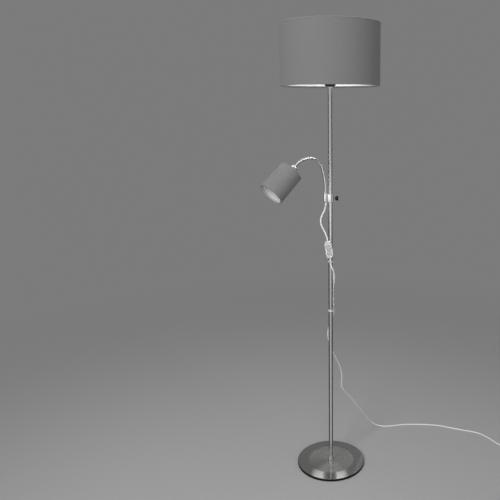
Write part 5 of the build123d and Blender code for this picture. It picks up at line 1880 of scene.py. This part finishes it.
@dataclass
class Studio:
    """Pale floor that runs into a plain backdrop, soft lamps and the camera."""

    distance: float = 2.029
    height: float = 1.320
    azimuth: float = 36.0
    pitch: float = 9.82
    roll: float = -0.0024
    focal: float = 585.0
    centre: tuple[float, float] = (330.4, 210.0)
    picture: float = 500.0
    sensor: float = 36.0
    floor_colour: float = 0.395
    backdrop: float = 0.20
    floor_fade: tuple[float, float] = (0.5, 2.6)
    floor_radius: float = 30.0

    def build(self) -> None:
        """Make the camera, the world, the floor and the lamps."""
        self.build_camera()
        self.build_world()
        self.build_floor()
        self.build_lamps()
        for card in CARDS:
            card.build(self.azimuth)

    def level_ways(self) -> tuple[Vector, Vector]:
        """Level directions to the camera's right and away from it."""
        azimuth = math.radians(self.azimuth)
        right = Vector((math.cos(azimuth), -math.sin(azimuth), 0.0))
        return right, Vector((math.sin(azimuth), math.cos(azimuth), 0.0))

    def build_camera(self) -> None:
        """Camera at the photograph's place, with the shift that its framing needs."""
        pitch = math.radians(self.pitch)
        _, ahead = self.level_ways()
        look = ahead * math.cos(pitch) - Vector((0, 0, math.sin(pitch)))
        data = bpy.data.cameras.new("camera")
        data.sensor_width = self.sensor
        data.lens = self.focal / self.picture * self.sensor
        data.shift_x = (self.picture / 2 - self.centre[0]) / self.picture
        data.shift_y = (self.centre[1] - self.picture / 2) / self.picture
        data.clip_end = 100.0
        camera = bpy.data.objects.new("camera", data)
        bpy.context.scene.collection.objects.link(camera)
        camera.rotation_mode = "QUATERNION"
        roll = Matrix.Rotation(self.roll, 3, "Z").to_quaternion()
        camera.rotation_quaternion = look.to_track_quat("-Z", "Y") @ roll
        camera.location = -ahead * self.distance + Vector((0, 0, self.height))
        bpy.context.scene.camera = camera

    def build_world(self) -> None:
        """Even grey surroundings, the same for every kind of ray."""
        world = bpy.data.worlds.new("surroundings")
        world.use_nodes = True
        background = world.node_tree.nodes["Background"]
        background.inputs["Color"].default_value = (self.backdrop, self.backdrop, self.backdrop, 1.0)
        background.inputs["Strength"].default_value = 1.0
        bpy.context.scene.world = world

    def build_floor(self) -> None:
        """Round floor, pale under the lamp and running into the backdrop's own colour further out."""
        recipe = Recipe("studio_floor")
        recipe.constants(base_color=(self.floor_colour,) * 3, roughness=0.75, specular_ior_level=0.2)
        mix = recipe.add("MixShader")
        fade = recipe.ramp(recipe.reach(), self.floor_fade, kind="SMOOTHSTEP")
        recipe.join(fade, mix.inputs["Fac"])
        recipe.join(recipe.shader.outputs["BSDF"], mix.inputs[1])
        recipe.join(recipe.glow(self.backdrop), mix.inputs[2])
        recipe.join(mix.outputs[0], recipe.output.inputs["Surface"])
        radius = np.linspace(0, 1, 60) ** 2 * self.floor_radius
        skin = turned(np.stack([radius, np.zeros_like(radius)], 1), WORLD, 96)
        MADE["studio_floor"] = recipe.material
        piece("studio_floor", [skin], Finish("studio_floor", (0.5, 0.5, 0.5)))

    def lamp(
        self,
        name: str,
        seen_at: tuple[float, float, float],
        size: tuple[float, float],
        power: float,
        aim_height: float = 0.9,
    ) -> None:
        """Soft rectangular lamp that faces the object's axis and doesn't show in its metal.

        Args:
            name: Object name.
            seen_at: Place in metres, seen from the camera: right, away and up.
            size: Width and height of its face.
            power: Power in watts.
            aim_height: Height on the axis that it faces.
        """
        right, away = self.level_ways()
        data = bpy.data.lights.new(name, "AREA")
        data.shape = "RECTANGLE"
        data.size, data.size_y = size
        data.energy = power
        obj = bpy.data.objects.new(name, data)
        bpy.context.scene.collection.objects.link(obj)
        obj.location = right * seen_at[0] + away * seen_at[1] + Vector((0, 0, seen_at[2]))
        aim = Vector((0, 0, aim_height)) - obj.location
        obj.rotation_euler = aim.to_track_quat("-Z", "Y").to_euler()
        obj.visible_camera = False
        obj.visible_glossy = False

    def build_lamps(self) -> None:
        """Key and front lamp, a fill from the right, a soft one above and two small ones for the lining."""
        self.lamp("key", (-1.5, -2.6, 2.2), (1.2, 1.8), 72.0)
        self.lamp("front", (0.25, -3.2, 1.5), (0.5, 2.4), 18.0)
        self.lamp("fill", (2.6, -0.8, 1.4), (0.8, 2.0), 5.0)
        self.lamp("top", (0.0, -0.4, 3.4), (2.2, 2.2), 26.0)
        self.lamp("under", (0.1, -1.3, 0.6), (0.8, 0.3), 2.5, 1.50)
        self.lamp("above_shade", (0.0, -0.01, 1.72), (0.24, 0.24), 1.1)


# ---------------------------------------------------------------- whole lamp


PLAIN_NODES: dict[str, Finish] = {
    "base_weight": WEIGHT_IRON,
    "floor_pad": PAD_FELT,
    "foot_plug": PLAIN_STEEL,
    "foot_fixings": PLAIN_STEEL,
    "pole_joiner": PLAIN_STEEL,
    "pole_core": SATIN_NICKEL,
    "pole_nipple": PLAIN_STEEL,
    "lamp_flex": FLEX_WHITE,
    "neck_bracket": CHROME,
    "lock_screw": PLAIN_STEEL,
    "switch_front": CLEAR_CASE,
    "switch_back": CLEAR_CASE,
    "switch_screws": PLAIN_STEEL,
    "rocker_main": ROCKER_DARK,
    "rocker_reading": ROCKER_DARK,
    "cord_clips": CLEAR_CASE,
}


def dress_plain_nodes(frame: dict) -> None:
    """Give each CAD node that stays in view its finish."""
    for name, finish in PLAIN_NODES.items():
        mesh = frame["nodes"][name].data
        mesh.materials.clear()
        mesh.materials.append(finish.material())
        LOG.info("%s keeps its CAD shape in %s", name, finish.name)


def gland_line(neck: NeckPath) -> tuple[np.ndarray, np.ndarray, np.ndarray]:
    """Root of the gland, the lead's exit and its direction.

    Args:
        neck: The neck's path, whose socket gives the bracket's own line.

    Returns:
        The root under the bracket, the exit point and the unit direction there.
    """
    bracket = Extent.of("neck_bracket")
    toward = unit(neck.socket * np.array((1.0, 1.0, 0.0)))
    offset, lean = 14.6 * MM, math.radians(12.0)
    root = toward * offset + UP * bracket.low[2]
    way = np.array(seen(-math.sin(lean), 0, -math.cos(lean))) / MM
    return root, root - UP * Gland.flange_height + way * Gland.length, way


def main() -> None:
    """Build the lamp's looks in order."""
    logging.basicConfig(level=logging.INFO, format="%(name)s: %(message)s")
    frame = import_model()
    bpy.context.scene.view_settings.view_transform = "Standard"
    first = np.array(joint_of(frame, "neck_bend_01")["pos_m"])
    neck_path = NeckPath()
    neck_path.socket = first - UP * neck_path.foot
    dress_plain_nodes(frame)
    Base().build()
    Pole().build()
    Knob().build(frame)
    root, exit_spot, way = gland_line(neck_path)
    Gland().build(root, exit_spot, Lead.diameter / 2)
    Neck(neck_path).build()
    MainLamp().build()
    ReadingLamp(neck_path).build()
    Lead().build(exit_spot, way)
    Studio().build()


if __name__ == "__main__":
    main()
